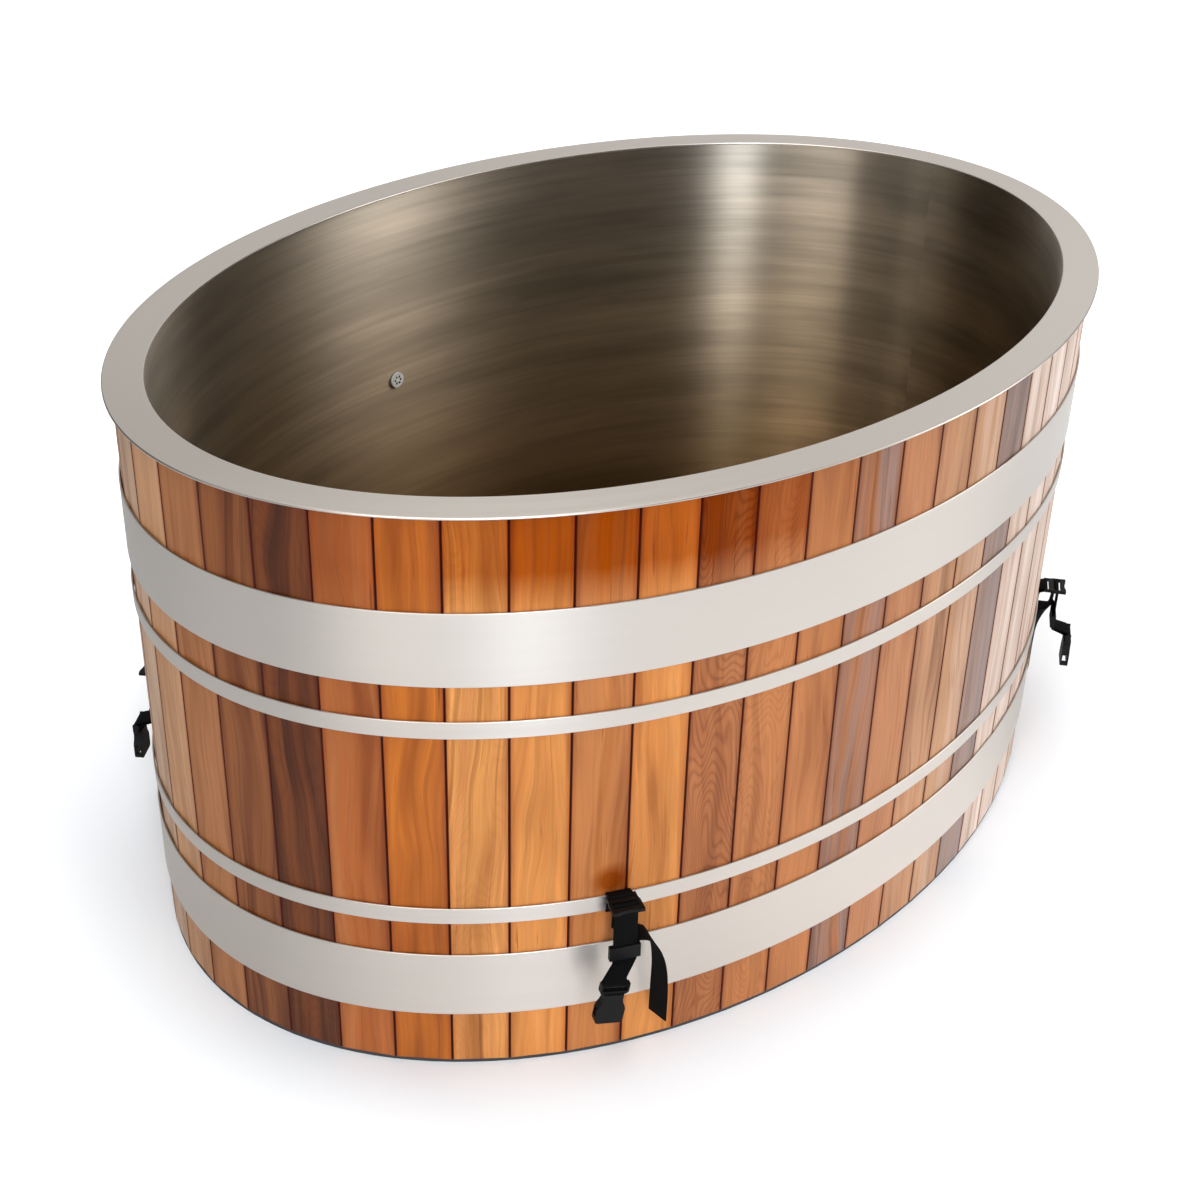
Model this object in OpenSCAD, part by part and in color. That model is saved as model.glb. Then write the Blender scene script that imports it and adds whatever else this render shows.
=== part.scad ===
// Oval cold plunge tub: a welded steel liner in a tongue-and-groove cedar shell,
// held by four flat steel hoops, with cover straps, a return jet and a floor drain.
// Millimetres, +Z up, +X along the tub, origin on the ground at the middle of the tub.

/* [Tub] */
// Length over the rim
rim_length = 1524; // [1420:1:1640]
// Width over the rim
rim_width = 1062; // [980:1:1150]
// Height from the ground to the top of the rim
tub_height = 757; // [720:1:860]
// Width of the flat rim
rim_flange = 49; // [47:0.5:58]
// Thickness of the rim plate
rim_plate = 3; // [2:0.5:5]
// How far the rim stands out past the staves
rim_overhang = 10; // [8:0.5:12]

/* [Liner and base] */
// Thickness of the liner wall
liner_sheet = 1.5; // [1:0.1:2.5]
// Thickness of the liner floor
floor_sheet = 2; // [1.5:0.5:4]
// Height of the water side of the floor above the ground
floor_height = 86; // [84:1:100]
// Height of the bearers under the base board
bearer_height = 50; // [49:0.5:52]
// Width of each bearer
bearer_width = 60; // [40:1:80]
// Distance between bearers, middle to middle
bearer_pitch = 260; // [240:1:280]
// Thickness of the base board
board_thickness = 12; // [9:0.5:14]
// Thickness of the rubber edging under the staves
edging_thickness = 5; // [3:0.5:8]

/* [Staves] */
// Nominal face width of a stave
stave_width = 69.5; // [60:0.5:80]
// How far the seam nearest to the middle of the front lies to the left of it
stave_offset = 10.5; // [0:0.5:35]
// Thickness of a stave
stave_thickness = 19; // [17:0.5:20]
// Width of the chamfer on each long edge
stave_chamfer = 1.6; // [1:0.1:3]
// Thickness of the tongue
tongue_thickness = 6; // [4:0.5:7]
// Length of the tongue
tongue_length = 6; // [4:0.5:8]

/* [Hoops] */
// Thickness of the hoop strip
hoop_thickness = 2.3; // [1.5:0.1:3]
// Height of a wide hoop
wide_hoop = 92; // [80:1:100]
// Height of a narrow hoop
narrow_hoop = 22; // [20:1:26]
// Bottom edge of the lower wide hoop
lower_wide_z = 81; // [76:1:86]
// Bottom edge of the lower narrow hoop
lower_narrow_z = 221; // [210:1:230]
// Bottom edge of the upper narrow hoop
upper_narrow_z = 481; // [481:1:500]
// Bottom edge of the upper wide hoop
upper_wide_z = 548; // [535:1:560]
// Eccentric angle where the hoop ends are drawn together
closure_angle = 112; // [105:1:118]
// How far a closing lug stands out from its hoop
lug_height = 15; // [13:0.5:18]
// Diameter of the draw bolts
draw_bolt = 6; // [5:1:8]

/* [Cover straps] */
// Width of the webbing
webbing_width = 30; // [26:0.5:32]
// Thickness of the webbing
webbing_thickness = 1.2; // [0.8:0.1:1.4]
// Eccentric angle of the front left strap
front_left_angle = -130.3; // [-133:0.1:-127]
// Eccentric angle of the front right strap
front_right_angle = -49.5; // [-53:0.5:-46]
// Eccentric angle of the back left strap
back_left_angle = 136.5; // [133:0.5:140]
// Eccentric angle of the back right strap
back_right_angle = 49.5; // [46:0.5:53]
// Diameter of the bars that the webbing turns round
bar_diameter = 4; // [3:0.5:5]
// Distance from the wall to the back bar of a ladder lock
lock_reach = 12; // [11:0.5:14]
// Distance from the back bar to the middle bar of a ladder lock
lock_bar_spacing = 16.5; // [15:0.5:19]
// Width of a ladder lock over its tab
lock_width = 39; // [38:0.5:44]
// Thickness of a ladder lock
lock_thickness = 4.5; // [3.5:0.5:6]
// Distance from the middle bar of a lock down to the keeper
keeper_drop = 52.5; // [48:0.5:60]
// Height of a strap keeper
keeper_height = 19; // [15:0.5:22]
// Thickness of a strap keeper's wall
keeper_wall = 1.8; // [1.2:0.2:2.4]
// How much lower the keepers of the two left straps sit
keeper_slide = 15; // [0:0.5:16]
// Distance that the buckle hangs out from the hanging strap
buckle_reach = 26; // [22:0.5:30]
// Distance from the strap's bend down to the buckle's bar
buckle_fall = 12; // [11:0.5:14]
// How far the front left strap swings its buckle to the left
buckle_sway = 20; // [0:0.5:22]
// Angle by which the front left buckle hangs askew
buckle_tilt = 10; // [0:0.5:12]
// Length of a buckle from its bar to its mouth
buckle_length = 54; // [50:0.5:60]
// Width of a buckle housing
buckle_width = 35; // [32:0.5:38]
// Thickness of a buckle housing
buckle_thickness = 11.5; // [10.5:0.5:14]
// Thickness of the male tongue that the buckle takes
socket_thickness = 7.4; // [6.6:0.2:8]

/* [Return jet] */
// Height of the return jet above the ground
jet_height = 466; // [455:1:467]
// Diameter of the jet's flange
jet_flange = 24; // [22:1:30]
// Diameter of the jet's tube
jet_tube = 16; // [14:0.5:17]
// Diameter of the six holes in the jet's face plate
jet_hole = 3.8; // [2.5:0.1:4]
// Bore of the jet's tube
jet_bore = 11; // [9:0.5:12]
// Diameter of the hose spigot on the jet
jet_spigot = 13; // [10:0.5:15]

/* [Drain] */
// Distance of the drain from the middle of the tub along its length
drain_x = 138; // [132:1:144]
// Distance of the drain from the outside of the staves at the back
drain_setback = 221; // [205:1:255]
// Height of the outlet pipe's axis above the ground
outlet_height = 32; // [31:0.5:32]
// Diameter of the drain's flange
drain_flange = 64; // [58:1:70]
// Outer diameter of the drain's tube
drain_tube = 40; // [37:1:42]
// Bore of the drain's tube
drain_bore = 32; // [28:1:33]
// Outer diameter of the outlet pipe
outlet_pipe = 33; // [30:0.5:33]
// Bore of the outlet pipe and valve
outlet_bore = 26; // [20:0.5:26]
// Diameter of the valve's ball
ball_diameter = 36; // [35:0.5:37]
// Outer diameter of the valve's barrel
valve_barrel = 46; // [45:0.5:50]
// Diameter of the valve's stem
stem_diameter = 10; // [8:0.5:12]
// Length of the valve's lever from its stem
lever_length = 95; // [80:1:120]
// Diameter of the hose spigot on the valve
drain_spigot = 26; // [25:0.5:28]

/* [Hidden] */
$fn = 96;

// Clearances
fit_gap = 0.3;
seam_gap = 0.3;
running_gap = 0.05;
slip_gap = 0.2;
oval_facets = 240;

// Parts, named as the tub comes apart
STAVE_GROUPS = ["front", "front_right", "back_right", "back", "back_left", "front_left"];

// Layers of the wall, each as an inset from the rim's outer edge
wood_inset = rim_overhang;
wood_inner_inset = rim_overhang + stave_thickness;
stave_bow = 2;
drain_y = rim_width / 2 - wood_inset - drain_setback;
foam_inset = wood_inner_inset + stave_bow;
liner_inset = rim_flange;
liner_outer_inset = rim_flange - liner_sheet;

// Heights in the wall and base
rim_underside = tub_height - rim_plate;
board_top = bearer_height + board_thickness;
floor_underside = floor_height - floor_sheet;

// Spacing of the staves round the oval
wood_a = rim_length / 2 - wood_inset;
wood_b = rim_width / 2 - wood_inset;
arc_steps = 720;
arc_step = 360 / arc_steps;
function arc_piece(u) = norm([wood_a * sin(u), wood_b * cos(u)]) * arc_step * PI / 180;
arc_table = [
    for (i = 0, s = 0; i <= arc_steps; s = s + arc_piece((i + 0.5) * arc_step - 90), i = i + 1)
        [s, i * arc_step - 90]
];
perimeter = arc_table[arc_steps][0];
stave_count = round(perimeter / stave_width);
stave_pitch = perimeter / stave_count;
function seam_angle(i) = lookup((i * stave_pitch - stave_offset + perimeter) % perimeter, arc_table);

// A point of the wood's outline, and the outward direction there
function wall_point(u) = [wood_a * cos(u), wood_b * sin(u)];
function wall_normal(u) = [wood_b * cos(u), wood_a * sin(u)] / norm([wood_b * cos(u), wood_a * sin(u)]);
function heading(u) = atan2(wall_normal(u).y, wall_normal(u).x);
function seam_point(i, depth, along) =
    let (u = seam_angle(i), n = wall_normal(u))
    wall_point(u) - n * depth + [-n.y, n.x] * along;

// Straps
strap_angles = [front_left_angle, front_right_angle, back_left_angle, back_right_angle];
strap_extra = [keeper_slide, 0, keeper_slide, 0];
strap_sway = [-buckle_sway, 0, 0, 0];
strap_tilt = [buckle_tilt, 0, 0, 0];
tail_side = [1, 1, -1, 1];
lock_half_width = webbing_width / 2 + 0.6;
wrap_radius = bar_diameter / 2 + slip_gap + webbing_thickness / 2;
hoop_face = fit_gap + hoop_thickness;
lock_z = lower_narrow_z + narrow_hoop + 3;
lock_bar = lock_reach + lock_bar_spacing;
hang = lock_bar + wrap_radius;
layer_pitch = webbing_thickness + 0.3;
buckle_bar = hang + buckle_reach;
bed_clearance = 0.3;

// Jet and drain
jet_wall_y = rim_width / 2 - liner_inset;
jet_gasket_thickness = 1.5;
jet_flange_thickness = 3;
jet_end_y = rim_width / 2 - wood_inset + 3;
drain_gasket_thickness = 1.5;
drain_flange_thickness = 3;
elbow_wall = 4;
elbow_reach = 46;
function wall_y(x) = wood_b * sqrt(1 - pow(x / wood_a, 2));
drain_wall_y = wall_y(drain_x);
flange_y = drain_wall_y + 0.5;
flange_thickness = 4;
flange_rim = 24;
valve_y = flange_y + flange_thickness + 34;
valve_half = 30;
cap_length = 14;
stem_neck = 15;
lever_thickness = 3;

// Flat oval at an inset from the rim's outer edge
module oval(inset) {
    a = rim_length / 2 - inset;
    b = rim_width / 2 - inset;
    scale([1, b / a]) circle(r = a, $fn = oval_facets);
}

// Upright oval wall between two insets, rolled in two halves that meet at the ends of the tub
module oval_wall(outer, inner, low, high) {
    translate([0, 0, low])
        linear_extrude(high - low)
            for (side = [0, 1])
                mirror([0, side])
                    difference() {
                        intersection() {
                            oval(outer);
                            translate([-rim_length, 0]) square([2 * rim_length, rim_width]);
                        }
                        oval(inner);
                    }
}

// Local frame on the wall: X points out of the tub, Y runs along the wall, Z is up
module at_wall(u) {
    p = wall_point(u);
    translate([p.x, p.y, 0]) rotate([0, 0, heading(u)]) children();
}

// Cylinder along +Y, from one Y to another
module rod_y(d, from, to) {
    translate([0, from, 0]) rotate([-90, 0, 0]) cylinder(d = d, h = to - from);
}

// Cylinder along Y of the local wall frame, centred
module cross_bar(d, length) {
    rotate([90, 0, 0]) cylinder(d = d, h = length, center = true, $fn = 48);
}

// Liner and rim
module rim_ring() {
    color([0.72, 0.70, 0.67]) oval_wall(0, liner_inset, rim_underside, tub_height);
}

module liner_wall() {
    color([0.55, 0.54, 0.52])
        difference() {
            oval_wall(liner_outer_inset, liner_inset, floor_height, rim_underside);
            translate([0, 0, jet_height]) rod_y(jet_tube + 2 * slip_gap, jet_wall_y - 5, jet_wall_y + 8);
        }
}

module liner_floor() {
    color([0.55, 0.54, 0.52])
        translate([0, 0, floor_underside])
            linear_extrude(floor_sheet)
                difference() {
                    oval(liner_outer_inset);
                    translate([drain_x, drain_y]) circle(d = drain_tube + 2 * slip_gap);
                }
}

// Insulation
jet_nut_thickness = 6;
jet_nut_width = jet_tube + 9;
module insulation_wall() {
    color([0.9, 0.87, 0.72])
        difference() {
            oval_wall(foam_inset, liner_outer_inset - fit_gap, board_top, rim_underside);
            translate([0, 0, jet_height]) {
                rod_y(jet_tube + 1, jet_wall_y, jet_wall_y + 40);
                rod_y(jet_nut_width + 4, jet_wall_y, jet_wall_y + liner_sheet + jet_nut_thickness + 1);
            }
        }
}

drain_nut_thickness = 8;
drain_nut_width = drain_tube + 14;
module insulation_floor() {
    color([0.9, 0.87, 0.72])
        translate([0, 0, board_top])
            linear_extrude(floor_underside - board_top)
                difference() {
                    oval(liner_outer_inset);
                    translate([drain_x, drain_y]) circle(d = drain_nut_width + 8);
                }
}

// Base
elbow_width = drain_tube + 2 * (elbow_wall + slip_gap);
module base_board() {
    color([0.62, 0.5, 0.36])
        translate([0, 0, bearer_height])
            linear_extrude(board_thickness)
                difference() {
                    oval(foam_inset);
                    translate([drain_x, drain_y]) circle(d = elbow_width + 4);
                }
}

module base_bearers() {
    color([0.25, 0.25, 0.26])
        for (i = [-2:2]) {
            x = i * bearer_pitch;
            far = abs(x) + bearer_width / 2;
            half = (rim_width / 2 - foam_inset) * sqrt(1 - pow(far / (rim_length / 2 - foam_inset), 2)) - 4;
            translate([x - bearer_width / 2, -half, 0]) cube([bearer_width, 2 * half, bearer_height]);
        }
}

module base_edging() {
    color([0.16, 0.16, 0.17]) oval_wall(wood_inset + 1, wood_inner_inset, 0, edging_thickness);
}

// Staves
tongue_from = (stave_thickness - tongue_thickness) / 2;
tongue_to = tongue_from + tongue_thickness;
half_seam = seam_gap / 2;

module stave_outline(i) {
    groove = tongue_length + 2 * half_seam;
    polygon([
        seam_point(i, 0, half_seam + stave_chamfer),
        seam_point(i, stave_chamfer, half_seam),
        seam_point(i, tongue_from - half_seam, half_seam),
        seam_point(i, tongue_from - half_seam, groove),
        seam_point(i, tongue_to + half_seam, groove),
        seam_point(i, tongue_to + half_seam, half_seam),
        seam_point(i, stave_thickness, half_seam),
        seam_point(i + 1, stave_thickness, -half_seam),
        seam_point(i + 1, tongue_to, -half_seam),
        seam_point(i + 1, tongue_to, tongue_length),
        seam_point(i + 1, tongue_from, tongue_length),
        seam_point(i + 1, tongue_from, -half_seam),
        seam_point(i + 1, stave_chamfer, -half_seam),
        seam_point(i + 1, 0, -half_seam - stave_chamfer)
    ]);
}

// Shallow bed that the webbing presses into the wood behind the lower narrow hoop
module strap_bed(u) {
    depth = webbing_thickness + fit_gap + bed_clearance;
    at_wall(u)
        translate([-depth, -webbing_width / 2 - 1, lower_narrow_z - 5])
            cube([depth + 5, webbing_width + 2, narrow_hoop + 11]);
}

module stave_group(group) {
    count = len(STAVE_GROUPS);
    first = ceil((group - 0.5) * stave_count / count);
    last = ceil((group + 0.5) * stave_count / count) - 1;
    color([0.78, 0.48, 0.28])
        difference() {
            for (i = [first:last])
                translate([0, 0, edging_thickness])
                    linear_extrude(rim_underside - edging_thickness) stave_outline(i);
            for (u = strap_angles) strap_bed(u);
            translate([0, 0, jet_height]) rod_y(jet_tube + 1, jet_wall_y, jet_end_y + 5);
            translate([drain_x, 0, outlet_height]) rod_y(outlet_pipe + 1, drain_y, valve_y);
        }
}

// Hoops
closure_gap = 14;
lug_thickness = 5;
lug_width = 18;
module hoop(low, height) {
    color([0.8, 0.79, 0.77])
        difference() {
            oval_wall(wood_inset - fit_gap - hoop_thickness, wood_inset - fit_gap, low, low + height);
            at_wall(closure_angle)
                translate([-5, -closure_gap / 2, low - 1]) cube([20, closure_gap, height + 2]);
        }
}

function hoop_middles() = [
    lower_wide_z + wide_hoop / 2,
    lower_narrow_z + narrow_hoop / 2,
    upper_narrow_z + narrow_hoop / 2,
    upper_wide_z + wide_hoop / 2
];

// A pair of upright lugs welded beside each hoop's gap, bored for the draw bolt
bolt_out = hoop_face + lug_height / 2 + 1;
module hoop_lugs() {
    color([0.7, 0.69, 0.67])
        for (z = hoop_middles(), side = [-1, 1])
            at_wall(closure_angle)
                translate([hoop_face + 0.1, side * (closure_gap / 2 + lug_thickness / 2 + 1), z])
                    difference() {
                        translate([0, -lug_thickness / 2, -lug_width / 2])
                            cube([lug_height, lug_thickness, lug_width]);
                        translate([bolt_out - hoop_face, 0, 0])
                            cross_bar(draw_bolt + 2 * slip_gap, lug_thickness + 2);
                    }
}

module hoop_draw_bolts() {
    span = closure_gap + 2 * (lug_thickness + 1);
    head = draw_bolt * 0.65;
    color([0.66, 0.66, 0.66])
        for (z = hoop_middles())
            at_wall(closure_angle)
                translate([bolt_out + 0.1, 0, z]) {
                    translate([0, 2, 0]) cross_bar(draw_bolt, span + 8);
                    translate([0, -span / 2 - head / 2 - running_gap, 0])
                        rotate([90, 0, 0]) cylinder(d = draw_bolt * 1.9, h = head, center = true, $fn = 6);
                    translate([0, span / 2 + head / 2 + running_gap, 0])
                        rotate([90, 0, 0]) cylinder(d = draw_bolt * 1.9, h = head, center = true, $fn = 6);
                }
}

// Return jet
jet_recess = jet_flange - 5;
jet_ring = jet_recess / 3.4;
jet_chamber = jet_tube - 2;
module jet_faceplate() {
    color([0.75, 0.75, 0.75])
        translate([0, jet_wall_y - jet_gasket_thickness - jet_flange_thickness - 0.5, jet_height])
            rotate([-90, 0, 0])
                linear_extrude(1.8)
                    difference() {
                        circle(d = jet_recess - 2 * slip_gap);
                        for (i = [0:5]) rotate(i * 60) translate([jet_ring, 0]) circle(d = jet_hole, $fn = 24);
                    }
}

module jet_body() {
    front = jet_wall_y - jet_gasket_thickness - jet_flange_thickness;
    color([0.6, 0.6, 0.6])
        translate([0, 0, jet_height])
            difference() {
                union() {
                    rod_y(jet_flange, front, jet_wall_y - jet_gasket_thickness);
                    rod_y(jet_tube, front, jet_end_y);
                }
                rod_y(jet_recess, front - 1, front + 1.5);
                rod_y(jet_chamber, front - 1, front + 8);
                rod_y(jet_bore, front - 1, jet_end_y + 1);
            }
}

module jet_gasket() {
    color([0.12, 0.12, 0.12])
        translate([0, 0, jet_height])
            difference() {
                rod_y(jet_flange - 1, jet_wall_y - jet_gasket_thickness, jet_wall_y - slip_gap);
                rod_y(jet_tube + 2 * slip_gap, jet_wall_y - 5, jet_wall_y + 1);
            }
}

module jet_locknut() {
    from = jet_wall_y + liner_sheet + slip_gap;
    color([0.7, 0.7, 0.7])
        translate([0, 0, jet_height])
            difference() {
                translate([0, from, 0])
                    rotate([-90, 30, 0]) cylinder(d = jet_nut_width, h = jet_nut_thickness, $fn = 6);
                rod_y(jet_tube + 2 * slip_gap, from - 1, from + jet_nut_thickness + 1);
            }
}

// Turned hose tail: collar, plain spigot and a tapered nose
spigot_length = 16;
nose_length = 6;
jet_collar = jet_tube + 8;
module jet_hose_tail() {
    r = jet_spigot / 2;
    bore = r - 2;
    color([0.7, 0.68, 0.62])
        translate([0, jet_end_y + slip_gap, jet_height])
            rotate([-90, 0, 0])
                rotate_extrude()
                    polygon([
                        [bore, 0], [jet_collar / 2, 0], [jet_collar / 2, 6], [r, 6],
                        [r, 6 + spigot_length],
                        [r - 1, 6 + spigot_length + nose_length], [bore, 6 + spigot_length + nose_length]
                    ]);
}

// Floor drain
strainer_thickness = 2;
drain_flange_z = floor_height + drain_gasket_thickness;
module drain_strainer() {
    recess = drain_flange - 8;
    color([0.72, 0.72, 0.72])
        translate([drain_x, drain_y, drain_flange_z + 1.2])
            linear_extrude(strainer_thickness)
                difference() {
                    circle(d = recess - 2 * slip_gap);
                    for (ring = [1:2], i = [0:6 * ring - 1])
                        rotate(i * 60 / ring) translate([ring * drain_bore / 5, 0]) circle(d = 4, $fn = 24);
                }
}

module drain_body() {
    top = drain_flange_z + drain_flange_thickness;
    recess_floor = drain_flange_z + 1;
    color([0.6, 0.6, 0.6])
        translate([drain_x, drain_y, 0])
            difference() {
                union() {
                    translate([0, 0, drain_flange_z]) cylinder(d = drain_flange, h = drain_flange_thickness);
                    translate([0, 0, board_top - 8]) cylinder(d = drain_tube, h = top - board_top + 8);
                }
                translate([0, 0, recess_floor]) cylinder(d = drain_flange - 8, h = top - recess_floor + 1);
                cylinder(d = drain_bore, h = top + 1);
            }
}

module drain_gasket() {
    color([0.12, 0.12, 0.12])
        translate([drain_x, drain_y, floor_height])
            linear_extrude(drain_gasket_thickness)
                difference() {
                    circle(d = drain_flange - 2);
                    circle(d = drain_tube + 2 * slip_gap);
                }
}

module drain_locknut() {
    color([0.7, 0.7, 0.7])
        translate([drain_x, drain_y, floor_underside - slip_gap - drain_nut_thickness])
            difference() {
                cylinder(d = drain_nut_width, h = drain_nut_thickness, $fn = 6);
                translate([0, 0, -1]) cylinder(d = drain_tube + 2 * slip_gap, h = drain_nut_thickness + 2);
            }
}

// Elbow that takes the drain's tube from above and the outlet pipe from behind
module drain_elbow() {
    socket_floor = board_top - 8 - slip_gap;
    elbow_top = board_top + 6;
    branch = outlet_pipe + 2 * slip_gap + 3;
    bottom = outlet_height - branch / 2;
    color([0.35, 0.35, 0.36])
        translate([drain_x, drain_y, 0])
            difference() {
                union() {
                    translate([0, 0, bottom]) cylinder(d = elbow_width, h = elbow_top - bottom);
                    translate([0, 0, outlet_height])
                        intersection() {
                            rod_y(branch, 0, elbow_reach);
                            translate([-branch, 0, -branch])
                                cube([2 * branch, elbow_reach, branch + bearer_height - outlet_height - 0.5]);
                        }
                }
                translate([0, 0, socket_floor]) cylinder(d = drain_tube + 2 * slip_gap, h = elbow_top);
                translate([0, 0, outlet_height]) cylinder(d = outlet_bore, h = elbow_top);
                translate([0, 0, outlet_height]) rod_y(outlet_bore, 0, elbow_reach + 1);
                translate([0, 0, outlet_height]) rod_y(outlet_pipe + 2 * slip_gap, elbow_width / 2 + 3, elbow_reach + 1);
            }
}

valve_front = valve_y - valve_half;
module drain_pipe() {
    color([0.3, 0.3, 0.31])
        translate([drain_x, 0, outlet_height])
            difference() {
                rod_y(outlet_pipe, drain_y + elbow_width / 2 + 3.2, valve_front - slip_gap);
                rod_y(outlet_bore, drain_y, valve_y);
            }
}

// Wall flange, seated square to the wall although the pipe runs along Y
module drain_wall_flange() {
    color([0.68, 0.68, 0.68])
        translate([0, 0, outlet_height])
            difference() {
                at_wall(acos(drain_x / wood_a))
                    translate([fit_gap, 0, 0])
                        rotate([0, 90, 0]) cylinder(d = outlet_pipe + flange_rim, h = flange_thickness);
                translate([drain_x, 0, 0]) rod_y(outlet_pipe + 1.2, drain_wall_y - 20, drain_wall_y + 20);
            }
}

// Ball valve: body, screwed end cap, two seat rings, and the ball, stem and lever that turn together
cavity = ball_diameter + 0.8;
cap_front = valve_y + valve_half - cap_length;
seat_face = sqrt(pow(ball_diameter / 2, 2) - pow(outlet_bore / 2, 2));
seat_thickness = 3;
module valve_body() {
    neck = stem_diameter + 8;
    end = valve_barrel - 4;
    color([0.72, 0.6, 0.32])
        translate([drain_x, 0, outlet_height])
            difference() {
                union() {
                    rod_y(valve_barrel, valve_y - 19, cap_front);
                    translate([0, valve_front, 0]) rotate([-90, 30, 0]) cylinder(d = end, h = 14, $fn = 6);
                    translate([0, valve_y, 0]) cylinder(d = neck, h = valve_barrel / 2 + stem_neck - 8);
                }
                rod_y(outlet_bore, valve_front - 1, valve_y);
                rod_y(cavity, valve_y - seat_face - seat_thickness - 0.6, cap_front + 1);
                translate([0, valve_y, 0])
                    cylinder(d = stem_diameter + 2 * running_gap, h = valve_barrel / 2 + stem_neck);
            }
}

module valve_end_cap() {
    color([0.72, 0.6, 0.32])
        translate([drain_x, 0, outlet_height])
            difference() {
                union() {
                    rod_y(cavity - 2 * slip_gap, valve_y + seat_face + seat_thickness + 0.6, cap_front + 1);
                    translate([0, cap_front + slip_gap, 0])
                        rotate([-90, 30, 0]) cylinder(d = valve_barrel, h = cap_length - slip_gap, $fn = 6);
                }
                rod_y(outlet_bore, valve_y, valve_y + valve_half + 1);
            }
}

module valve_seats() {
    inner = outlet_bore + 0.6;
    color([0.93, 0.93, 0.9])
        translate([drain_x, 0, outlet_height])
            for (side = [-1, 1])
                translate([0, valve_y + side * (seat_face + seat_thickness / 2 + 0.3), 0])
                    rotate([90, 0, 0])
                        linear_extrude(seat_thickness, center = true)
                            difference() {
                                circle(d = cavity - 2 * slip_gap);
                                circle(d = inner);
                            }
}

flat_top = ball_diameter / 2 - 2;
module valve_ball() {
    color([0.8, 0.8, 0.8])
        translate([drain_x, valve_y, outlet_height])
            difference() {
                sphere(d = ball_diameter);
                rotate([0, 90, 0]) cylinder(d = outlet_bore, h = ball_diameter + 2, center = true);
                translate([-ball_diameter, -ball_diameter, flat_top]) cube(2 * ball_diameter);
            }
}

lever_z = outlet_height + valve_barrel / 2 + stem_neck - 8 + 0.5;
lever_hole = stem_diameter - 3;
module valve_stem() {
    shaft = lever_z - outlet_height - flat_top;
    color([0.75, 0.75, 0.75])
        translate([drain_x, valve_y, outlet_height + flat_top]) {
            cylinder(d = stem_diameter, h = shaft);
            translate([0, 0, shaft]) cylinder(d = lever_hole - 2 * running_gap, h = lever_thickness + 3);
        }
}

// Lever: a flat bar with a rounded boss and a grip that steps up and away from the body
lever_width = 16;
lever_step = 7;
module valve_lever() {
    grip_from = valve_barrel / 2 + 6;
    color([0.15, 0.2, 0.5])
        translate([drain_x, valve_y, lever_z]) {
            difference() {
                union() {
                    cylinder(d = stem_diameter + 10, h = lever_thickness);
                    translate([-grip_from, -lever_width / 2, 0]) cube([grip_from, lever_width, lever_thickness]);
                    translate([-lever_length + lever_width / 2, 0, lever_step])
                        cylinder(d = lever_width, h = lever_thickness);
                    translate([-lever_length + lever_width / 2, -lever_width / 2, lever_step])
                        cube([lever_length - lever_width / 2 - grip_from, lever_width, lever_thickness]);
                    translate([-grip_from - 1, -lever_width / 2, 0])
                        cube([lever_thickness, lever_width, lever_step + lever_thickness]);
                }
                translate([0, 0, -1]) cylinder(d = lever_hole, h = lever_thickness + 2);
            }
        }
}

drain_collar = drain_spigot + 12;
module drain_hose_tail() {
    r = drain_spigot / 2;
    bore = r - 3;
    color([0.7, 0.68, 0.62])
        translate([drain_x, valve_y + valve_half + slip_gap, outlet_height])
            rotate([-90, 0, 0])
                rotate_extrude()
                    polygon([
                        [bore, 0], [drain_collar / 2, 0], [drain_collar / 2, 8], [r, 8],
                        [r, 8 + spigot_length],
                        [r - 1.5, 8 + spigot_length + nose_length], [bore, 8 + spigot_length + nose_length]
                    ]);
}

// Cover straps, drawn in the local wall frame as [out, up] profiles across the strap
function arc(c, r, from, to, n) =
    [for (i = [0:n]) let (a = from + (to - from) * i / n) [c.x + r * cos(a), c.y + r * sin(a)]];

// Sewn loop of webbing round the lower narrow hoop and the ladder lock's back bar
hoop_top = lower_narrow_z + narrow_hoop;
module anchor(u) {
    half = webbing_thickness / 2;
    front = hoop_face + slip_gap + half;
    rear = -half - slip_gap;
    path = concat(
        arc([(front + rear) / 2, lower_narrow_z - 0.3], (front - rear) / 2, 180, 360, 8),
        [[front, hoop_top - 5], [front + 1.2, hoop_top - 2.4]],
        arc([lock_reach, lock_z], wrap_radius, -70, 110, 8),
        [[1, hoop_top + 2.8], [rear + 0.3, hoop_top + 1.8], [rear, hoop_top + 0.6]]
    );
    color([0.05, 0.05, 0.05])
        at_wall(u)
            rotate([90, 0, 0])
                linear_extrude(webbing_width, center = true)
                    difference() {
                        offset(r = half, $fn = 12) polygon(path);
                        offset(delta = -half) polygon(path);
                    }
}

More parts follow.
